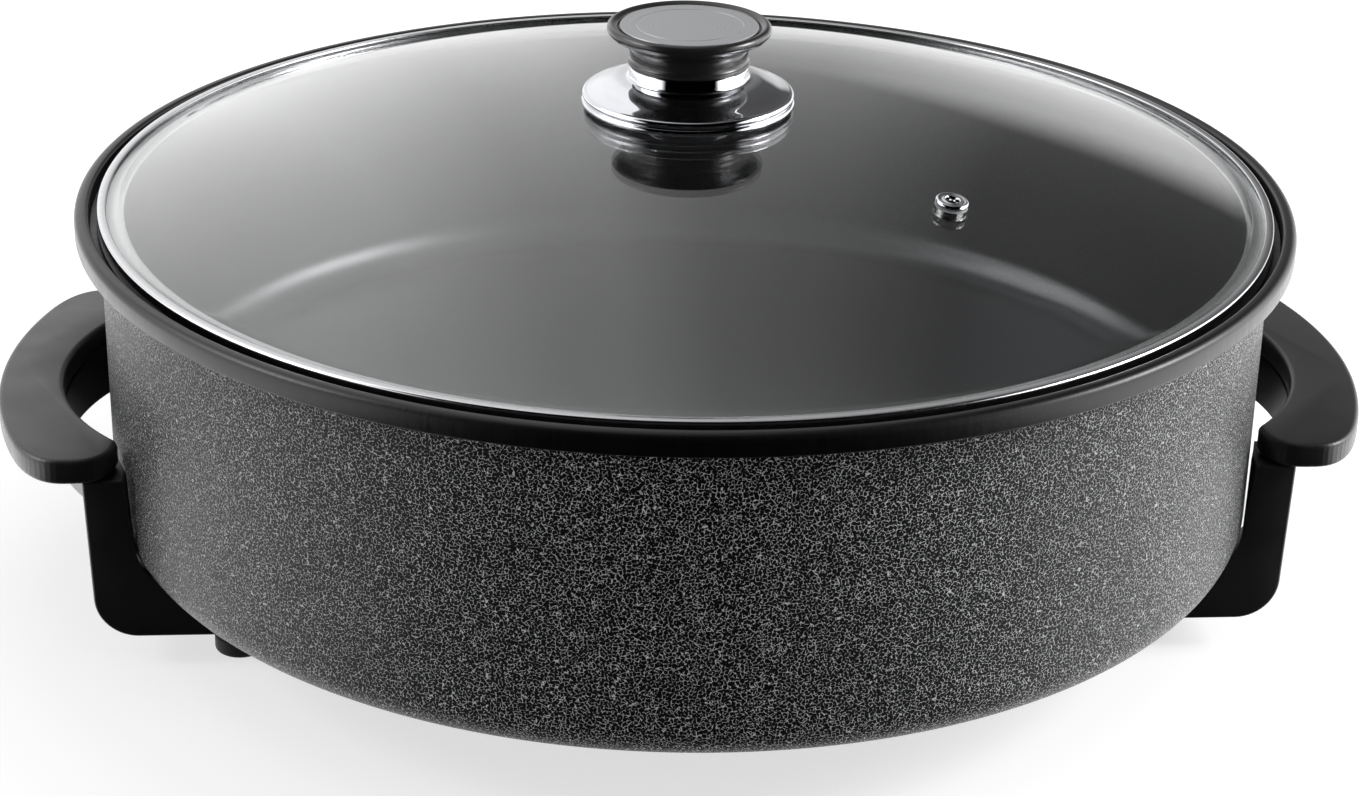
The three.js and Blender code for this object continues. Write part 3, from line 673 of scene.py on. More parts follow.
# Feet: near black, without gloss
RUBBER = Filled("moulded_rubber", "#0e0e0f", "#1a1a1b", 0.5, 0.82, 0.25)
# Seals: pale grey with a slight sheen
SILICONE = Filled("pressed_silicone", "#8b8d8e", "#a3a5a6", 0.6, 0.6, 0.12)
# Beads: chalky off-white
STEATITE = Filled("fired_steatite", "#ded9cd", "#cfc8b8", 0.4, 0.7, 0.2)


def body_of(node: str) -> str:
    """Name of the body that holds a node."""
    bodies = frame["record"]["behaviour"]["bodies"]
    return next(name for name, nodes in bodies.items() if node in nodes)


def settle(piece: Piece, node: str, slot: str, *finishes: Finish, angle: float = 32.0) -> None:
    """Finishes a piece: shading, finishes, the CAD node that it stands for and the body that it rides on.

    Args:
        piece: the piece.
        node: the CAD node.
        slot: material slot of the record; not used.
        finishes: finishes in the order of the faces' numbers.
        angle: faces that meet at less than this look smooth, in degrees.
    """
    choose(piece)
    bpy.ops.object.shade_smooth_by_angle(angle=math.radians(angle))
    piece.data.materials.clear()
    for finish in finishes:
        piece.data.materials.append(finish.material())
    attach(piece, body_of(node))
    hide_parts(node)
    low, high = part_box(node)
    corners = [piece.matrix_world @ Vector(c) for c in piece.bound_box]
    off = max(abs(min(c[i] for c in corners) - low[i]) + abs(max(c[i] for c in corners) - high[i])
              for i in range(3))
    faces = len(piece.data.polygons)
    log.info("%s: %d faces, box within %.1f mm of its node", piece.name, faces, off * 1000)


# The pan and what hangs under it


@dataclass
class PanCasting:
    """Cast pan: rim band, lip, ledge for the lid, wall, cooking floor, skirt, ribs and bosses."""

    base: float = 27.0
    well: float = 43.5
    floor: float = 47.0
    band: float = 122.9
    ledge: float = 124.6
    lip: float = 129.5
    well_low: float = 31.0  # the coat under the floor starts above this
    well_reach: float = 174.5  # and ends within this
    rim: float = 186.0
    lip_inner: float = 181.6
    lip_round: float = 2.2
    lip_inner_round: float = 1.2
    wall: float = 178.7
    draft: float = 0.4
    inner_wall: float = 175.4
    fillet: float = 12.0
    skirt_wall: float = 4.0
    skirt_flange: float = 6.5
    facets: int = 256
    rib_reaches: tuple[float, float] = (97.2, 110.4)
    rib_wall: float = 2.4
    rib_depth: float = 6.0
    rib_gap: float = 35.9  # half of the opening that lets the element's cold ends through
    boss_depth: float = 12.0
    sunk: float = 0.6  # how far bosses reach up into the floor
    notch: tuple[Place, Place] = ((150, -29.5, 10), (200, 29.5, 43.5))
    saddle: tuple[Place, Place] = ((113, -7, 40.3), (147, 7, 44.1))

    def profile(self) -> list[Point]:
        """Section of the casting, from the axis under the floor round to the axis above it."""
        foot = self.wall - self.draft
        turn = (foot - self.fillet, self.base + self.fillet)
        flange = turn[0] - self.skirt_flange
        inner = (self.inner_wall - self.draft - self.fillet, self.floor + self.fillet)
        return [
            (0, self.well), (foot - self.skirt_wall - 2, self.well),
            *arc((foot - self.skirt_wall - 2, self.well - 2), 2, 90, 0, 4),
            *arc(turn, self.fillet - self.skirt_wall, 0, -90, 8),
            *corner(flange, self.base + self.skirt_wall, 1, 90, 3),
            *corner(flange, self.base, 1, 180, 3),
            *arc(turn, self.fillet, -90, 0, 14),
            (self.wall - 0.05, self.band - 10), (self.wall, self.band - 0.8),
            *arc((self.wall + 0.8, self.band - 0.8), 0.8, 180, 90, 3),
            *corner(self.rim, self.band, 0.7, -90, 3),
            *corner(self.rim, self.lip, self.lip_round, 0, 8),
            *corner(self.lip_inner, self.lip, self.lip_inner_round, 90, 5),
            (self.lip_inner, self.ledge + 0.5),
            *arc((self.lip_inner - 0.5, self.ledge + 0.5), 0.5, 0, -90, 3),
            *corner(self.inner_wall, self.ledge, 0.6, 90, 3),
            *arc(inner, self.fillet, 0, -90, 14), (0, self.floor),
        ]

    def boss(self, x: float, y: float, radius: float, low: float) -> Piece:
        """A boss with a blind hole for a screw, standing out of the underside."""
        top, bottom = self.well + self.sunk, low + self.boss_depth
        line = [(0, bottom), (SCREW_HOLE, bottom), (SCREW_HOLE, low + 0.3), (SCREW_HOLE + 0.3, low),
                (radius - 0.4, low), (radius, low + 0.4), (radius, top), (0, top)]
        return placed(lathe("boss", line, 32), shifted(x, y, 0))

    def rib(self, reach: float) -> Piece:
        """A rib round the element with its foot in the floor, open towards the socket."""
        low, top, far = self.well - self.rib_depth, self.well + 0.5, reach + self.rib_wall
        gap = math.degrees(math.asin(self.rib_gap / (reach + self.rib_wall / 2)))
        line = [(reach, top), (reach, low + 0.5), (reach + 0.5, low), (far - 0.5, low), (far, low + 0.5),
                (far, top), (reach, top)]
        return lathe("rib", line, 150, 360 - 2 * gap, gap)

    def build(self) -> Piece:
        """Turns the casting, cuts the socket's notch and adds ribs, bosses and the probe's saddle."""
        pan = lathe("pan_casting", self.profile(), self.facets)
        notch = brick("notch", *self.notch)
        round_edges(notch, lambda a, b: abs(a.y - b.y) < 1 and abs(a.z - b.z) < 1 and a.z > 40,
                    size=2.5, steps=4)
        work(pan, Way.CUT, notch)
        extras = [self.rib(reach) for reach in self.rib_reaches]
        for side in Side:
            for end in End:
                extras.append(self.boss(side.value * LEG_SCREW[0], end.value * LEG_SCREW[1], 5.5, self.base))
        for end in End:
            extras.append(self.boss(SOCKET_SCREW[0], end.value * SOCKET_SCREW[1], 5, 29.7))
        saddle = brick("saddle", *self.saddle)
        round_edges(saddle, lambda a, b: a.z < 41 and b.z < 41 or abs(a.z - b.z) > 1, size=1, steps=3)
        joined(pan, *extras, saddle)
        return pan

    def finish_number(self, x: float, y: float, z: float) -> int:
        """Which finish a face has, by its middle: 0 hammertone, 1 wiped enamel, 2 non-stick coat."""
        reach = math.hypot(x, y)
        if z > self.band - 0.75 and reach > self.wall - 1:
            return 1
        inside = z > self.band or z > self.floor - 0.5 and reach < self.inner_wall + 0.5
        well = reach < self.well_reach and self.well_low < z < self.floor
        return 2 if well or inside and reach < self.rim - 2.5 else 0

    def dress(self, pan: Piece) -> None:
        """Hammertone outside, wiped enamel on the band, non-stick coat inside and under the floor."""
        settle(pan, "pan_body", "pan_coating", HAMMERTONE, RIM, NON_STICK)
        for face in pan.data.polygons:
            face.material_index = self.finish_number(*(face.center * 1000))


@dataclass
class Heater:
    """Tubular element under the floor, its cold ends, beads and pins, and the thermostat's probe tube."""

    tube: float = 4.0
    ring: float = 105.0
    height: float = 39.2
    lead_across: float = 14.0
    lead_height: float = 35.8
    lead_end: float = 150.0
    lead_start: float = 122.0
    ring_start: float = 20.0
    bend: float = 12.0

    def path(self) -> list[Place]:
        """Points of the element's middle line, from one cold end round to the other."""
        corner = self.ring - self.tube / 2
        slip = self.bend * (1 - math.sqrt(0.5))
        half = (self.height + self.lead_height) / 2
        lead = [
            (self.lead_end, self.lead_across, self.lead_height),
            (self.lead_start, self.lead_across, self.lead_height),
            (corner + slip, self.lead_across + slip, half),
            (corner, self.lead_across + self.bend, self.height),
        ]
        steps = 32
        turn = (360 - 2 * self.ring_start) / steps
        angles = [math.radians(self.ring_start + turn * i) for i in range(steps + 1)]
        round_way = [(self.ring * math.cos(a), self.ring * math.sin(a), self.height) for a in angles]
        return [*lead, *round_way, *[(x, -y, z) for x, y, z in reversed(lead)]]

    def element(self) -> Piece:
        """Bends a curve along the path and makes it a tube."""
        bpy.ops.object.select_all(action="DESELECT")
        bpy.ops.curve.primitive_bezier_curve_add(location=(0, 0, 0))
        curve = bpy.context.active_object
        curve.data.splines.clear()
        line = curve.data.splines.new("BEZIER")
        points = self.path()
        line.bezier_points.add(len(points) - 1)
        for knot, point in zip(line.bezier_points, points):
            knot.co = [metres(v) for v in point]
            knot.handle_left_type = knot.handle_right_type = "AUTO"
        curve.data.resolution_u = 6
        curve.data.bevel_depth = metres(self.tube)
        curve.data.bevel_resolution = 6
        curve.data.use_fill_caps = True
        bpy.ops.object.convert(target="MESH")
        tube = named(bpy.context.active_object, "element_tube")
        bpy.ops.object.mode_set(mode="EDIT")
        close_up()
        return tube

    def along_x(self, name: str, node: str, profile: list[Point]) -> Piece:
        """Turns a profile and lays it along +X on a node's middle line, from the node's inner end."""
        low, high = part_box(node)
        lay = Matrix.Translation((low[0], (low[1] + high[1]) / 2, (low[2] + high[2]) / 2))
        return placed(lathe(name, profile, 40), lay @ turned(90, "Y"))

    def build(self) -> None:
        """Makes and settles every piece."""
        settle(self.element(), "heating_element", "element_sheath", SHEATH)
        for end in End:
            bead = f"terminal_bead_{end.word}"
            line = [(2.7, 0.3), (3.0, 0), (3.9, 0), (4.4, 0.5), (4.4, 1.6), (4.1, 1.8), (4.1, 2.2),
                    (4.4, 2.4), (4.4, 3.5), (3.9, 4), (3.0, 4), (2.7, 3.7), (2.7, 0.3)]
            settle(self.along_x(f"steatite_bead_{end.word}", bead, line), bead, "ceramic", STEATITE)
            pin = f"terminal_pin_{end.word}"
            line = [(0, 0), (2.1, 0), (2.4, 0.3), (2.4, 20.6), *arc((1.0, 20.6), 1.4, 0, 90, 6), (0, 22)]
            settle(self.along_x(f"power_pin_{end.word}", pin, line), pin, "steel", STAINLESS)
        line = [(0, 0), *arc((3.2, 1), 1, -90, 0, 4), (4.2, 53.7), (3.9, 54), (3.5, 54), (3.2, 53.6),
                (3.2, 1), (0, 1)]
        settle(self.along_x("probe_sleeve", "probe_tube", line), "probe_tube", "steel", STAINLESS)


@dataclass
class PowerSocket:
    """Pressed steel shroud round the pins, its two screws and the bowed earth leaf."""

    half: float = 28.0
    start: float = 148.0
    end: float = 174.0
    low: float = 28.2
    high: float = 43.2
    wall: float = 1.2
    corner: float = 3.0
    tab: float = 5.0  # half of a tab's width
    tab_end: float = 134.0
    bead_hole: float = 5.4
    probe_hole: float = 4.5
    leaf: float = 0.8

    def shell(self, inset: float, start: float, end: float) -> Piece:
        """A rounded box, smaller by an inset, between two places along X."""
        w, z0, z1, r = self.half - inset, self.low + inset, self.high - inset, self.corner - inset
        line = [*corner(w, z0, r, -90, 6), *corner(w, z1, r, 0, 6),
                *corner(-w, z1, r, 90, 6), *corner(-w, z0, r, 180, 6)]
        return slab("shell", [(start, y, z) for y, z in line], (end - start, 0, 0))

    def build(self) -> None:
        """Makes and settles every piece."""
        shroud = self.shell(0, self.start, self.end)
        tabs = []
        for end in End:
            y = end.value * SOCKET_SCREW[1]
            tab = brick("tab", (self.tab_end, y - self.tab, self.low),
                        (self.start + 1, y + self.tab, self.low + self.wall))
            round_edges(tab, lambda a, b: abs(a.z - b.z) > 1 and a.x < 140, size=3, steps=5)
            tabs.append(tab)
        work(shroud, Way.WELD, *tabs)
        cuts = [self.shell(self.wall, self.start + self.wall, self.end + 6)]
        across = Heater.lead_across
        for y, radius in ((-across, self.bead_hole), (0, self.probe_hole), (across, self.bead_hole)):
            lay = shifted(self.start, y, Heater.lead_height) @ turned(90, "Y")
            cuts.append(placed(post(radius, -OVERRUN, 6), lay))
        for end in End:
            cuts.append(post(SCREW_HOLE, 20, 33, SOCKET_SCREW[0], end.value * SOCKET_SCREW[1], steps=24))
        work(shroud, Way.CUT, *cuts)
        settle(named(shroud, "socket_shroud"), "socket_housing", "steel", DRAWN)

        low, high = (Vector(v) * 1000 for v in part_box("earth_contact"))
        rise = high.z - low.z - self.leaf
        bow = [(low.x + (high.x - low.x) * i / 16, low.z + rise * (1 - (i / 8 - 1) ** 2)) for i in range(17)]
        line = [(x, low.y, z) for x, z in bow] + [(x, low.y, z + self.leaf) for x, z in reversed(bow)]
        leaf = slab("earth_leaf", line, (0, high.y - low.y, 0))
        settle(leaf, "earth_contact", "brass", BRASS)


@dataclass
class PanHeadScrew:
    """Pan-head screw that points up, with a cross recess below."""

    shank: float = 2.0
    head: float = 3.8
    head_height: float = 2.6
    recess: float = 1.5
    crown: float = 1.3  # rounding of the head
    pitch: float = 0.7
    thread: float = 0.25  # depth of the thread, which is drawn as rings

    def build(self, name: str, length: float) -> Piece:
        """A screw that stands on its head at the origin, with its whole length up to the tip."""
        line = [(0, 0), *arc((self.head - self.crown, self.crown), self.crown, -90, 0, 6),
                (self.head, self.head_height - 0.2), (self.head - 0.2, self.head_height),
                (self.shank, self.head_height)]
        height = self.head_height + 0.8
        while height < length - 1.6:
            line += [(self.shank - self.thread, height), (self.shank, height + self.pitch / 2)]
            height += self.pitch
        line += [(self.shank - 0.3, length - 0.6), (self.shank - 0.9, length), (0, length)]
        screw = lathe(name, line, 28)
        for turn in (0, 90):
            slot = brick("slot", (-0.42, -2.1, -1), (0.42, 2.1, self.recess))
            round_edges(slot, lambda a, b: a.z > 1 and b.z > 1 and abs(a.x - b.x) > 0.5, size=0.9, steps=2)
            work(screw, Way.CUT, placed(slot, turned(turn)))
        return screw

    def spread(self, stem: str, places: list[str]) -> None:
        """Models the screw once and copies it to each node whose name starts and ends with these words."""
        low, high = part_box(f"{stem}_{places[0]}")
        first = self.build(stem, (high[2] - low[2]) * 1000)
        for node in [f"{stem}_{place}" for place in places]:
            twin = copied(first, f"pan_head_{node}")
            centre = middle(node)
            placed(twin, Matrix.Translation((centre.x, centre.y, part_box(node)[0][2])))
            settle(twin, node, "steel", ZINC)
        bpy.data.objects.remove(first)


@dataclass
class LegAndGrip:
    """Leg frame, grip and feet of one side, modelled at +X; the other side is turned half round."""

    bottom: float = 10.0
    top: float = 61.7
    arm_top: float = 26.7
    inner_face: float = 46.0
    outer_face: float = 65.0
    reach: float = 181.99
    taper: float = 1.4
    corner: float = 13.0
    arm_end: float = 126.0
    inner_top: float = 169.49
    inner_lean: float = 2.2
    shelf: float = 38.0
    wall: float = 3.0
    pan_gap: float = 0.9
    screw_reach: float = LEG_SCREW[0]
    screw_across: float = LEG_SCREW[1]
    screw_ledge: float = 6.0  # what is left of the arm over a screw's head
    foot_reach: float = 138.0
    foot_boss: float = 5.6
    stem_hole: float = 3.5
    stem_depth: float = 6.8
    grip_screw_reach: float = 175.39
    grip_screw_room: float = 4.5
    driver: float = 2.8  # radius of the hole that lets a driver in
    finger_centre: float = 114.948
    finger_radius: float = 78.0
    web: float = 3.6
    web_depth: float = 16.0
    grip_low: float = 62.0
    grip_high: float = 70.0
    grip_edge: float = 1.8
    grip_hole: float = 5.0
    grip_reach: float = 212.448
    outer_radius: float = 150.0
    half_length: float = 68.0
    shoulder: float = 50.0
    tip: float = 53.2
    tip_length: float = 12.0
    end_flat: float = 3.0

    def side_view(self, inset: float, shelf: float) -> list[Point]:
        """L outline of a leg and its arm in X and Z."""
        outer = self.reach - inset
        low = outer - self.taper
        bottom, top = self.bottom + inset, self.top - inset
        radius = self.corner - inset
        return [
            (self.arm_end + inset, bottom), *corner(low, bottom, radius, -90, 14),
            (outer, top), (self.inner_top + inset, top), (self.inner_top - self.inner_lean + inset, shelf),
            (self.arm_end + inset, shelf),
        ]

    def pan_tool(self) -> Piece:
        """The outside of the pan, grown by the gap, that the frame is cut to."""
        pan = PanCasting()
        centre = (pan.wall - pan.draft - pan.fillet, pan.base + pan.fillet)
        low, gap = pan.base - 0.3, self.pan_gap
        line = [(0, low), (centre[0], low), *arc(centre, pan.fillet + gap, -60, 0, 12),
                (pan.wall + gap, pan.band), (0, pan.band)]
        return lathe("pan_tool", line, 256)

    def leg(self) -> Piece:
        """The rear leg: a round-edged L plate, hollow from its inner face, with posts for the screws."""
        deep = self.outer_face - self.inner_face
        leg = slab("leg", [(x, self.inner_face, z) for x, z in self.side_view(0, self.shelf)], (0, deep, 0))
        inner, outer = self.inner_face + 0.1, self.outer_face - 0.1
        round_edges(leg, lambda a, b: min(a.y, b.y) > outer or max(a.y, b.y) < inner, size=0.9, steps=3)
        room = self.side_view(self.wall, self.arm_top - self.wall)
        hollow = slab("hollow", [(x, self.inner_face - OVERRUN, z) for x, z in room],
                      (0, deep + OVERRUN - self.wall, 0))
        reaches = (self.screw_reach, self.foot_reach)
        work(hollow, Way.CUT, *[post(self.foot_boss, 0, 80, x, self.screw_across) for x in reaches])
        work(leg, Way.CUT, hollow)
        return leg

    def frame_piece(self) -> Piece:
        """Both legs and the web, cut to the pan and drilled."""
        whole = self.leg()
        front = placed(copied(whole, "front_leg"), Matrix.Scale(-1, 4, (0, 1, 0)))
        choose(front)
        bpy.ops.object.mode_set(mode="EDIT")
        close_up()
        angle = math.degrees(math.asin((self.inner_face + self.wall) / self.finger_radius))
        centre = (self.finger_centre, 0)
        line = [*arc(centre, self.finger_radius + self.web, -angle, angle, 40),
                *arc(centre, self.finger_radius, angle, -angle, 40)]
        web = slab("web", [(x, y, self.top - self.web_depth) for x, y in line], (0, 0, self.web_depth))
        round_edges(web, lambda a, b: max(a.z, b.z) < self.top - self.web_depth + 0.1, size=0.8, steps=3)
        work(whole, Way.WELD, front, web)
        work(whole, Way.CUT, self.pan_tool())
        low, grip_head = self.bottom - OVERRUN, self.top - self.wall
        holes = [
            (SCREW_HOLE, low, self.arm_top + OVERRUN, self.screw_reach),
            (HEAD_ROOM, low, self.arm_top - self.screw_ledge, self.screw_reach),
            (self.stem_hole, low, self.bottom + self.stem_depth, self.foot_reach),
            (SCREW_HOLE, grip_head - OVERRUN, self.top + OVERRUN, self.grip_screw_reach),
            (HEAD_ROOM, grip_head - self.grip_screw_room, grip_head, self.grip_screw_reach),
            (self.driver, low, self.bottom + self.corner, self.grip_screw_reach),
        ]
        for end in End:
            work(whole, Way.CUT, *[post(*hole, end.value * self.screw_across) for hole in holes])
        return named(whole, "leg_frame")

    def grip_outline(self) -> list[Point]:
        """Crescent outline: outer arc, round shoulders, flat ends and the arc of the finger gap."""
        outer = (self.grip_reach - self.outer_radius, 0)
        finger = (self.finger_centre, 0)
        shoulder = math.asin(self.shoulder / self.outer_radius)
        tip = math.asin(self.tip / self.finger_radius)
        shoulder_x = outer[0] + self.outer_radius * math.cos(shoulder)
        corner_x = shoulder_x - (self.half_length - self.shoulder) * math.tan(shoulder)
        tip_x = finger[0] + self.finger_radius * math.cos(tip)
        flat = tip_x + self.tip_length
        end = flat + self.end_flat
        half = self.half_length
        upper = bend((shoulder_x, self.shoulder), (corner_x, half), (end, half), 12)
        upper += [(flat, half)] + bend((flat, half), (tip_x, half), (tip_x, self.tip), 10)
        turn, back = math.degrees(shoulder), math.degrees(tip)
        return [
            *arc(outer, self.outer_radius, -turn, turn, 40), *upper,
            *arc(finger, self.finger_radius, back, -back, 48)[1:],
            *[(x, -y) for x, y in reversed(upper[:-1])],
        ]

    def grip(self) -> Piece:
        """The grip: its outline pulled up, with round edges all the way round, and drilled from below."""
        thick = self.grip_high - self.grip_low
        grip = slab("grip", [(x, y, self.grip_low) for x, y in self.grip_outline()], (0, 0, thick))
        round_edges(grip, lambda a, b: abs(a.z - b.z) < 0.01, size=self.grip_edge, steps=6)
        hole = (SCREW_HOLE, self.grip_low - OVERRUN, self.grip_low + self.grip_hole, self.grip_screw_reach)
        for end in End:
            work(grip, Way.CUT, post(*hole, end.value * self.screw_across))
        return grip

    def foot(self) -> Piece:
        """A rubber foot at the origin, with a dimple below, a groove round it and a stem."""
        line = [(0, 0.9), (3.6, 0.9), *arc((4.0, 0.5), 0.5, 90, 0, 3), (4.6, 0),
                *arc((6.4, 1.6), 1.6, -90, 0, 6), (8, 5.2), (7.7, 5.5), (7.7, 5.9), (8, 6.2), (8, 9.3),
                (7.6, 9.7), (3.2, 9.7), (3.2, 15.6), (2.6, 16.2), (0, 16.2)]
        return lathe("foot", line, 48)

    def build(self) -> None:
        """Makes both sides."""
        frame_piece, grip, foot = self.frame_piece(), self.grip(), self.foot()
        for side in Side:
            turn = Matrix.Rotation(0 if side is Side.RIGHT else math.pi, 4, "Z")
            legs = placed(copied(frame_piece, f"legs_{side.word}"), turn)
            settle(legs, f"leg_frame_{side.word}", "black_phenolic", MATT_PHENOLIC)
            handle = placed(copied(grip, f"grip_{side.word}"), turn)
            settle(handle, f"handle_grip_{side.word}", "black_phenolic", MATT_PHENOLIC)
            for end in End:
                node = f"foot_{side.word}_{end.word}"
                place = middle(node)
                pad = placed(copied(foot, f"rubber_{node}"), Matrix.Translation((place.x, place.y, 0)))
                settle(pad, node, "rubber", RUBBER)
        for tool in (frame_piece, grip, foot):
            bpy.data.objects.remove(tool)


# The lid


@dataclass
class Lid:
    """Domed glass, the steel ring on its edge, and the polished steam eyelet."""

    crown: float = 156.5
    edge_top: float = 129.4
    edge_low: float = 125.8
    thickness: float = 3.6
    glass_reach: float = 178.3
    dome_reach: float = 172.9
    knob_hole: float = 4.6
    ring_reach: float = 179.2
    ring_low: float = 124.9
    ring_wall: float = 0.6
    ring_flange: float = 8.8
    ring_lip: float = 2.7
    vent_reach: float = 99.5
    vent_turn: float = -44.5

    @property
    def sphere(self) -> float:
        """Radius of the dome."""
        rise = self.crown - self.edge_top
        return (self.dome_reach ** 2 + rise ** 2) / (2 * rise)

    def dome(self, reach: float) -> float:
        """Height of the outer surface at a distance from the axis."""
        return self.crown - self.sphere + math.sqrt(self.sphere ** 2 - reach ** 2)

    def dome_line(self, drop: float) -> list[Point]:
        """The dome from the knob's hole out to a soft bend into the flat edge."""
        end, steps = self.dome_reach, 36
        way = end - 2.0 - self.knob_hole
        reaches = [self.knob_hole + way * i / steps for i in range(steps + 1)]
        return [
            *[(reach, self.dome(reach) - drop) for reach in reaches],
            (end - 0.9, self.dome(end - 0.9) - drop + 0.03), (end + 0.2, self.edge_top - drop + 0.08),
            (end + 1.4, self.edge_top - drop),
        ]

    def at_vent(self, piece: Piece) -> Piece:
        """Sets a piece made about Z square to the dome at the vent."""
        lean = math.degrees(math.asin(self.vent_reach / self.sphere))
        out = shifted(self.vent_reach, 0, self.dome(self.vent_reach))
        return placed(piece, turned(self.vent_turn) @ out @ turned(lean, "Y"))

    def glass(self) -> None:
        """Turns the glass, drills it for the vent and lets light through to the pan."""
        edge = self.glass_reach
        line = [
            *self.dome_line(0), *arc((edge - 0.8, self.edge_top - 0.8), 0.8, 90, 0, 4),
            *arc((edge - 0.8, self.edge_low + 0.8), 0.8, 0, -90, 4),
            *reversed(self.dome_line(self.thickness)),
        ]
        glass = lathe("glass_dome", [*line, line[0]], 256)
        work(glass, Way.CUT, self.at_vent(post(4, -8, 5, steps=48)))
        settle(glass, "lid_glass", "lid_glass", GLASS)
        glass.visible_shadow = False
        glass.visible_diffuse = False

    def ring(self) -> None:
        """The channel that clasps the glass."""
        low, wall, reach = self.ring_low, self.ring_wall, self.ring_reach
        top = self.edge_top + 0.3 + wall
        inner, channel = reach - self.ring_flange, reach - wall
        lip = reach - self.ring_lip
        line = [
            *corner(inner, low, 0.3, 180, 3), *corner(reach, low, 0.5, -90, 4),
            *corner(reach, top, 0.7, 0, 5), *arc((lip + 0.3, top - 0.3), 0.3, 90, 270, 6),
            (channel, top - wall), (channel, low + wall), *arc((inner + 0.3, low + 0.3), 0.3, 90, 180, 3),
        ]
        ring = lathe("steel_ring", [*line, line[0]], 256)
        settle(ring, "lid_ring", "steel", STAINLESS, angle=50)

    def vent(self) -> None:
        """Eyelet with a rolled head and a flared flange, and the silicone ring under its head."""
        head, low = 1.0, -4.7
        line = [
            (1.7, low + 0.3), *arc((2.0, low + 0.3), 0.3, 180, 270, 2),
            *arc((4.9, low + 0.3), 0.3, -90, 0, 3), *arc((4.9, low + 0.5), 0.3, 0, 90, 3), (3.5, low + 0.8),
            (3.5, head), *arc((4.1, head + 0.8), 0.8, -90, 90, 10), (3.7, head + 1.42), (3.2, head + 1.3),
            (2.9, head + 1.45), *arc((2.5, head + 1.2), 0.4, 80, 180, 5), (1.75, head + 0.6), (1.7, head),
        ]
        eyelet = lathe("steam_eyelet", [*line, line[0]], 64)
        # Faces below the head get the dark steel: painted shade under the head and through the glass.
        below = [face.index for face in eyelet.data.polygons if face.center.z < metres(head)]
        settle(self.at_vent(eyelet), "vent_eyelet", "chrome", CHROME, UNDER_HEAD_SHADE, angle=50)
        for index in below:
            eyelet.data.polygons[index].material_index = 1
        line = [(3.8, 0.3), (4.7, 0.3), (4.9, 0.4), (4.9, 0.6), (4.7, 0.7), (3.8, 0.7), (3.8, 0.3)]
        washer = self.at_vent(lathe("vent_seal", line, 48))
        settle(washer, "vent_washer", "silicone", SILICONE)

    def build(self) -> None:
        """Makes every piece."""
        self.glass()
        self.ring()
        self.vent()


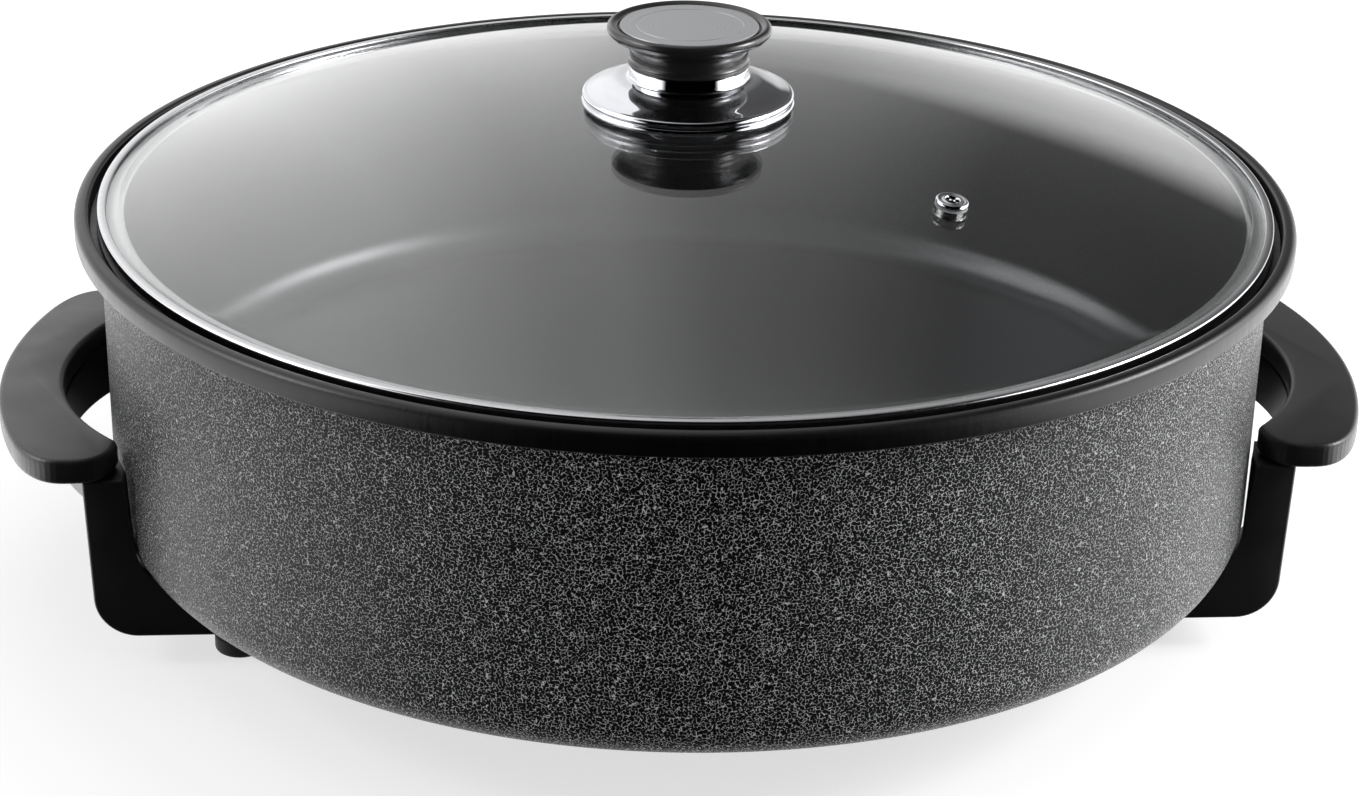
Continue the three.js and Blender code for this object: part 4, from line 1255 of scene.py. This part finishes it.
@dataclass
class Knob:
    """Black waisted knob with its disc, on a chromed collar, clamped through the glass by a screw."""

    web: float = 158.0
    collar_edge: float = 156.2
    collar_top: float = 164.8
    neck_top: float = 168.8
    neck: float = 18.2
    neck_inner: float = 17.3
    flange: float = 32.5
    bead: float = 1.1
    shoulder: float = 169.1
    top: float = 181.6
    lip: float = 25.0
    lip_round: float = 1.55
    waist: float = 17.9
    ridge: float = 18.6
    stem: float = 16.4
    recess: float = 21.6
    facets: int = 160

    def collar(self) -> None:
        """Pressed collar: neck, gently domed flange and a double rolled edge."""
        low, high = self.collar_edge + self.bead, self.collar_edge + 3 * self.bead
        edge, wall = high + self.bead, 0.9
        upper = self.flange - self.bead - wall / 4
        top = flowing([(upper, edge), (28.9, edge + 0.9), (25.8, edge + 2.35), (22.8, edge + 3.5),
                       (20.4, self.collar_top - 0.1)], 5)
        line = [
            (SCREW_HOLE, self.web), *arc((self.neck_inner - 1, self.web + 1), 1, -90, -20, 4),
            (self.neck + wall, self.collar_top - 2 * wall), (29.4, edge - wall),
            (self.flange - 2 * self.bead, self.collar_edge + 0.4),
            *arc((self.flange - self.bead, low), self.bead, -110, 66, 14),
            *arc((upper, high), self.bead, -48, 90, 12)[1:], *top[1:],
            *arc((self.neck + 1.1, self.collar_top + 1.2), 1.1, 260, 180, 6),
            *corner(self.neck, self.neck_top, 0.3, 0, 3), (self.neck_inner + 0.1, self.neck_top),
            (self.neck_inner, self.neck_top - 0.1), (self.neck_inner, self.web + wall),
            (SCREW_HOLE, self.web + wall),
        ]
        piece = lathe("chromed_collar", [*line, line[0]], self.facets)
        settle(piece, "knob_collar", "chrome", CHROME, angle=45)

    def body(self) -> None:
        """Knob: stem, ridge, waist that flares to a rolled lip, and the recess for the disc."""
        base, low, ridge = self.web + 1.2, self.shoulder, self.ridge - 0.4
        centre = (self.lip - self.lip_round, self.top - self.lip_round)
        flare = flowing([(self.waist, low + 2.2), (18.1, low + 4.0), (18.7, low + 5.6), (19.8, low + 6.9),
                         (21.6, low + 7.9), (23.6, low + 8.9)], 5)
        line = [
            (0, base + 13.3), (4.3, base + 13.3), (4.3, base),
            *corner(self.stem, base, 0.4, -90, 3), (self.stem, low),
            *arc((ridge, low + 0.4), 0.4, -90, 0, 4), *arc((ridge, low + 0.8), 0.4, 0, 60, 3),
            (self.waist + 0.1, low + 1.5), *flare[1:],
            *arc(centre, self.lip_round, -62, 100, 16), (self.recess + 0.35, self.top - 0.75),
            (self.recess, self.top - 1.1), (self.recess, self.top - 1.5), (0, self.top - 1.5),
        ]
        piece = lathe("gloss_knob", line, self.facets)
        settle(piece, "knob_body", "gloss_phenolic", GLOSS_PHENOLIC, angle=50)

    def disc(self) -> None:
        """Disc with a broken edge and one shallow turned groove."""
        low, reach, groove = self.top - 1.2, self.recess - 0.5, 16.2
        high = low + 0.6
        line = [
            (0, low), (reach, low), (reach, high - 0.2), (reach - 0.2, high), (groove + 0.35, high),
            (groove + 0.15, high - 0.15), (groove - 0.15, high - 0.15), (groove - 0.35, high), (0, high),
        ]
        settle(lathe("knob_plate", line, self.facets), "knob_disc", "knob_disc", DISC)

    def clamp(self) -> None:
        """Insert, gaskets, washer and screw."""
        def ring(name: str, node: str, slot: str, finish: Finish, bore: float, cut: float) -> None:
            """A flat ring with broken edges in a node's place."""
            low, high = (Vector(v) * 1000 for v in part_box(node))
            rim, z0, z1 = high.x, low.z, high.z
            line = [(bore, z0 + cut), (bore + cut, z0), (rim - cut, z0), (rim, z0 + cut), (rim, z1 - cut),
                    (rim - cut, z1), (bore + cut, z1), (bore, z1 - cut), (bore, z0 + cut)]
            settle(lathe(name, line, 64), node, slot, finish)

        ring("brass_insert", "knob_insert", "brass", BRASS, SCREW_HOLE, 0.3)
        ring("upper_seal", "knob_gasket_upper", "silicone", SILICONE, Lid.knob_hole, 0.1)
        ring("lower_seal", "knob_gasket_lower", "silicone", SILICONE, Lid.knob_hole, 0.2)
        ring("clamp_washer", "knob_washer", "steel", ZINC, SCREW_HOLE, 0.15)
        low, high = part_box("knob_screw")
        screw = PanHeadScrew().build("clamp_screw", (high[2] - low[2]) * 1000)
        settle(placed(screw, Matrix.Translation((0, 0, low[2]))), "knob_screw", "steel", ZINC)

    def build(self) -> None:
        """Makes every piece."""
        self.collar()
        self.body()
        self.disc()
        self.clamp()


# Studio


@dataclass
class SoftBox:
    """A rectangular studio lamp that the camera doesn't see."""

    name: str
    place: Place
    aim: Place
    size: Point
    level: float  # how bright its face is, where white is 1
    glossy: bool = True

    def build(self) -> None:
        """Hangs the lamp."""
        lamp = bpy.data.lights.new(self.name, "AREA")
        lamp.shape = "RECTANGLE"
        lamp.size, lamp.size_y = self.size
        lamp.energy = self.level * math.pi * self.size[0] * self.size[1]
        box = bpy.data.objects.new(self.name, lamp)
        bpy.context.scene.collection.objects.link(box)
        box.location = self.place
        back = (Vector(self.place) - Vector(self.aim)).normalized()
        box.rotation_euler = Matrix(facing(back)).transposed().to_euler()
        box.visible_camera = False
        box.visible_transmission = False
        box.visible_glossy = self.glossy


@dataclass
class Studio:
    """Camera, pale floor, backdrop and soft lamps."""

    lens: float = 83.06
    sensor: float = 36.0
    distance: float = 1.0
    aim: float = 57.8
    elevation: float = 23.82
    azimuth: float = -4.5
    roll: float = 1.14
    soft_level: float = 0.5  # how bright the studio is to matt surfaces, where white is 1
    paper: str = "#b4b4b4"
    paper_size: float = 12.0
    # The glow is less near the pan than far off, which paints shade on the floor round the pan.
    paper_glow: tuple[float, float] = (0.66, 0.81)  # what the camera sees added near the pan and far off
    paper_reach: tuple[float, float] = (0.2, 0.4)  # distances from the pan's axis for these, in metres
    # How bright the studio looks in gloss, from far left to far right, where white is 1
    ACROSS: ClassVar[list[Point]] = [
        (-1.0, 2.8), (-0.8, 1.3), (-0.4, 1.3), (-0.3, 1.5), (-0.16, 1.4), (-0.06, 1.0), (0.0, 0.9),
        (0.08, 0.55), (0.18, 0.38), (0.28, 0.14), (0.5, 0.1), (0.62, 0.45), (0.74, 1.6), (0.84, 3.4),
        (1.0, 3.2),
    ]
    BRIGHTEST: ClassVar[float] = 6.0  # stands for white in the ramp that holds ACROSS
    REFLECTOR: ClassVar[Place] = (-0.74, 0.17, 0.65)  # the way to a bright reflector, high on the left

    def camera(self) -> None:
        """Sets the camera where the photographer stood."""
        lift, turn = math.radians(self.elevation), math.radians(self.azimuth)
        back = Vector((math.sin(turn) * math.cos(lift), -math.cos(turn) * math.cos(lift), math.sin(lift)))
        right, up, back = facing(back)
        roll = math.radians(self.roll)
        cos, sin = math.cos(roll), math.sin(roll)
        right, up = cos * right + sin * up, cos * up - sin * right
        data = bpy.data.cameras.new("camera")
        data.lens = self.lens
        data.sensor_width = self.sensor
        camera = bpy.data.objects.new("camera", data)
        bpy.context.scene.collection.objects.link(camera)
        stand = Vector((0, 0, metres(self.aim))) + self.distance * back
        camera.matrix_world = Matrix.Translation(stand) @ Matrix((right, up, back)).transposed().to_4x4()
        bpy.context.scene.camera = camera
        bpy.context.scene.view_settings.view_transform = "Standard"

    def across(self, graph: Graph, x: Socket) -> Socket:
        """How bright the studio is from left to right."""
        ramp = graph.add_node("ValToRGB", {"Fac": graph.span(x, -1.0, 1.0)})
        stops = ramp.color_ramp.elements
        stops.remove(stops[1])
        for number, (side, shine) in enumerate(self.ACROSS):
            stop = stops.new((side + 1) / 2) if number else stops[0]
            stop.color = (*[shine / self.BRIGHTEST] * 3, 1)
        return graph.maths("MULTIPLY", ramp.outputs["Color"], self.BRIGHTEST)

    def gloss(self, graph: Graph) -> Socket:
        """How bright the studio is to gloss: lit behind and beside, dark in front, a reflector high up."""
        way = graph.add_node("TexCoord").outputs["Generated"]
        x, y, z = graph.parts(way)
        wide = graph.maths("ABSOLUTE", x)
        beside, behind = graph.span(wide, 0.72, 0.86, kind=SOFT), graph.span(y, -0.25, 0.45, kind=SOFT)
        # The pale table shows low down, and more so to the sides
        far, near = graph.span(z, 0.3, 0.12, 0.0, 0.6, SOFT), graph.span(z, 0.1, -0.45, 0.0, 0.6)
        outward = graph.span(wide, 0.15, 0.55, 0.9, 2.4)
        horizon = graph.maths("MULTIPLY", graph.maths("ADD", far, near), outward)
        shine = graph.maths("MAXIMUM", self.across(graph, x), horizon)
        level_round = graph.maths("MULTIPLY", shine, graph.maths("MAXIMUM", beside, behind))
        above = graph.span(z, 0.9, 1.0, 0.0, 0.2, SOFT)
        reflector = graph.span(graph.measure("DOT_PRODUCT", way, self.REFLECTOR), 0.92, 0.98, 0.0, 3.2, SOFT)
        return graph.maths("ADD", level_round, graph.maths("ADD", reflector, above))

    def world(self) -> None:
        """White for what looks straight at it, a studio with a dark front for gloss, and soft light."""
        world = bpy.data.worlds.new("studio")
        bpy.context.scene.world = world
        world.use_nodes = True
        graph = Graph(world.node_tree)
        path = graph.add_node("LightPath").outputs
        mirrored = graph.maths("GREATER_THAN", path["Glossy Depth"], 0.5)
        through = graph.maths("GREATER_THAN", path["Is Transmission Ray"], mirrored)
        straight = graph.maths("MAXIMUM", path["Is Camera Ray"], through)
        both = graph.maths("MULTIPLY", path["Is Transmission Ray"], mirrored)
        in_gloss = graph.maths("MAXIMUM", path["Is Glossy Ray"], both)
        level = graph.between(in_gloss, self.soft_level, self.gloss(graph))
        shown = graph.between(straight, level, 1.0)
        back = graph.add_node("Background", {"Color": WHITE, "Strength": shown})
        graph.add_node("OutputWorld", {"Surface": back.outputs[0]})

    def floor(self) -> None:
        """A pale sheet that turns white to the camera and keeps a faint shadow, partly cast and partly
        painted shade, as it glows less near the pan; gone when seen from below.
        """
        bpy.ops.object.select_all(action="DESELECT")
        bpy.ops.mesh.primitive_plane_add(size=self.paper_size, location=(0, 0, 0))
        floor = named(bpy.context.active_object, "paper_floor")
        sheet = bpy.data.materials.new("matt_white_paper")
        sheet.use_nodes = True
        graph = Graph(sheet.node_tree)
        path = graph.add_node("LightPath").outputs
        direct = graph.maths("MAXIMUM", path["Is Camera Ray"], path["Is Transmission Ray"])
        away = graph.measure("LENGTH", graph.place())
        # The glow drops near the pan: painted shade round it, on top of the cast shadow.
        seen = graph.maths("MULTIPLY", direct, graph.span(away, *self.paper_reach, *self.paper_glow))
        diffuse = graph.add_node("BsdfDiffuse", {"Color": linear(self.paper)})
        glow = graph.add_node("Emission", {"Color": WHITE, "Strength": seen})
        face = graph.add_node("AddShader", {0: diffuse.outputs[0], 1: glow.outputs[0]})
        clear = graph.add_node("BsdfTransparent")
        under = graph.add_node("NewGeometry").outputs["Backfacing"]
        both = graph.add_node("MixShader", {0: under, 1: face.outputs[0], 2: clear.outputs[0]})
        graph.add_node("OutputMaterial", {"Surface": both.outputs[0]})
        floor.data.materials.append(sheet)
        floor.visible_glossy = False

    def lamps(self) -> None:
        """One overhead for soft light alone, and a lamp on each side that gloss shows too."""
        pan = (0, 0.05, 0.08)
        SoftBox("overhead", (-0.1, 0.2, 1.2), (0, 0, 0), (1.2, 1.0), 0.7, glossy=False).build()
        SoftBox("right_lamp", (1.25, -0.1, 0.72), pan, (0.5, 0.5), 22.0).build()
        SoftBox("left_lamp", (-1.15, -0.15, 0.85), pan, (0.4, 0.4), 8.0).build()

    def build(self) -> None:
        """Sets everything up."""
        self.camera()
        self.world()
        self.floor()
        self.lamps()


def main() -> None:
    """Builds the object class by class, then the studio."""
    logging.basicConfig(level=logging.INFO, format="%(message)s", force=True)
    casting = PanCasting()
    casting.dress(casting.build())
    Heater().build()
    PowerSocket().build()
    corners = [f"{side.word}_{end.word}" for side in Side for end in End]
    screw = PanHeadScrew()
    screw.spread("leg_screw", corners)
    screw.spread("grip_screw", corners)
    screw.spread("socket_screw", [end.word for end in End])
    LegAndGrip().build()
    Lid().build()
    Knob().build()
    Studio().build()
    log.info("electric pan ready")


if __name__ == "__main__":
    main()
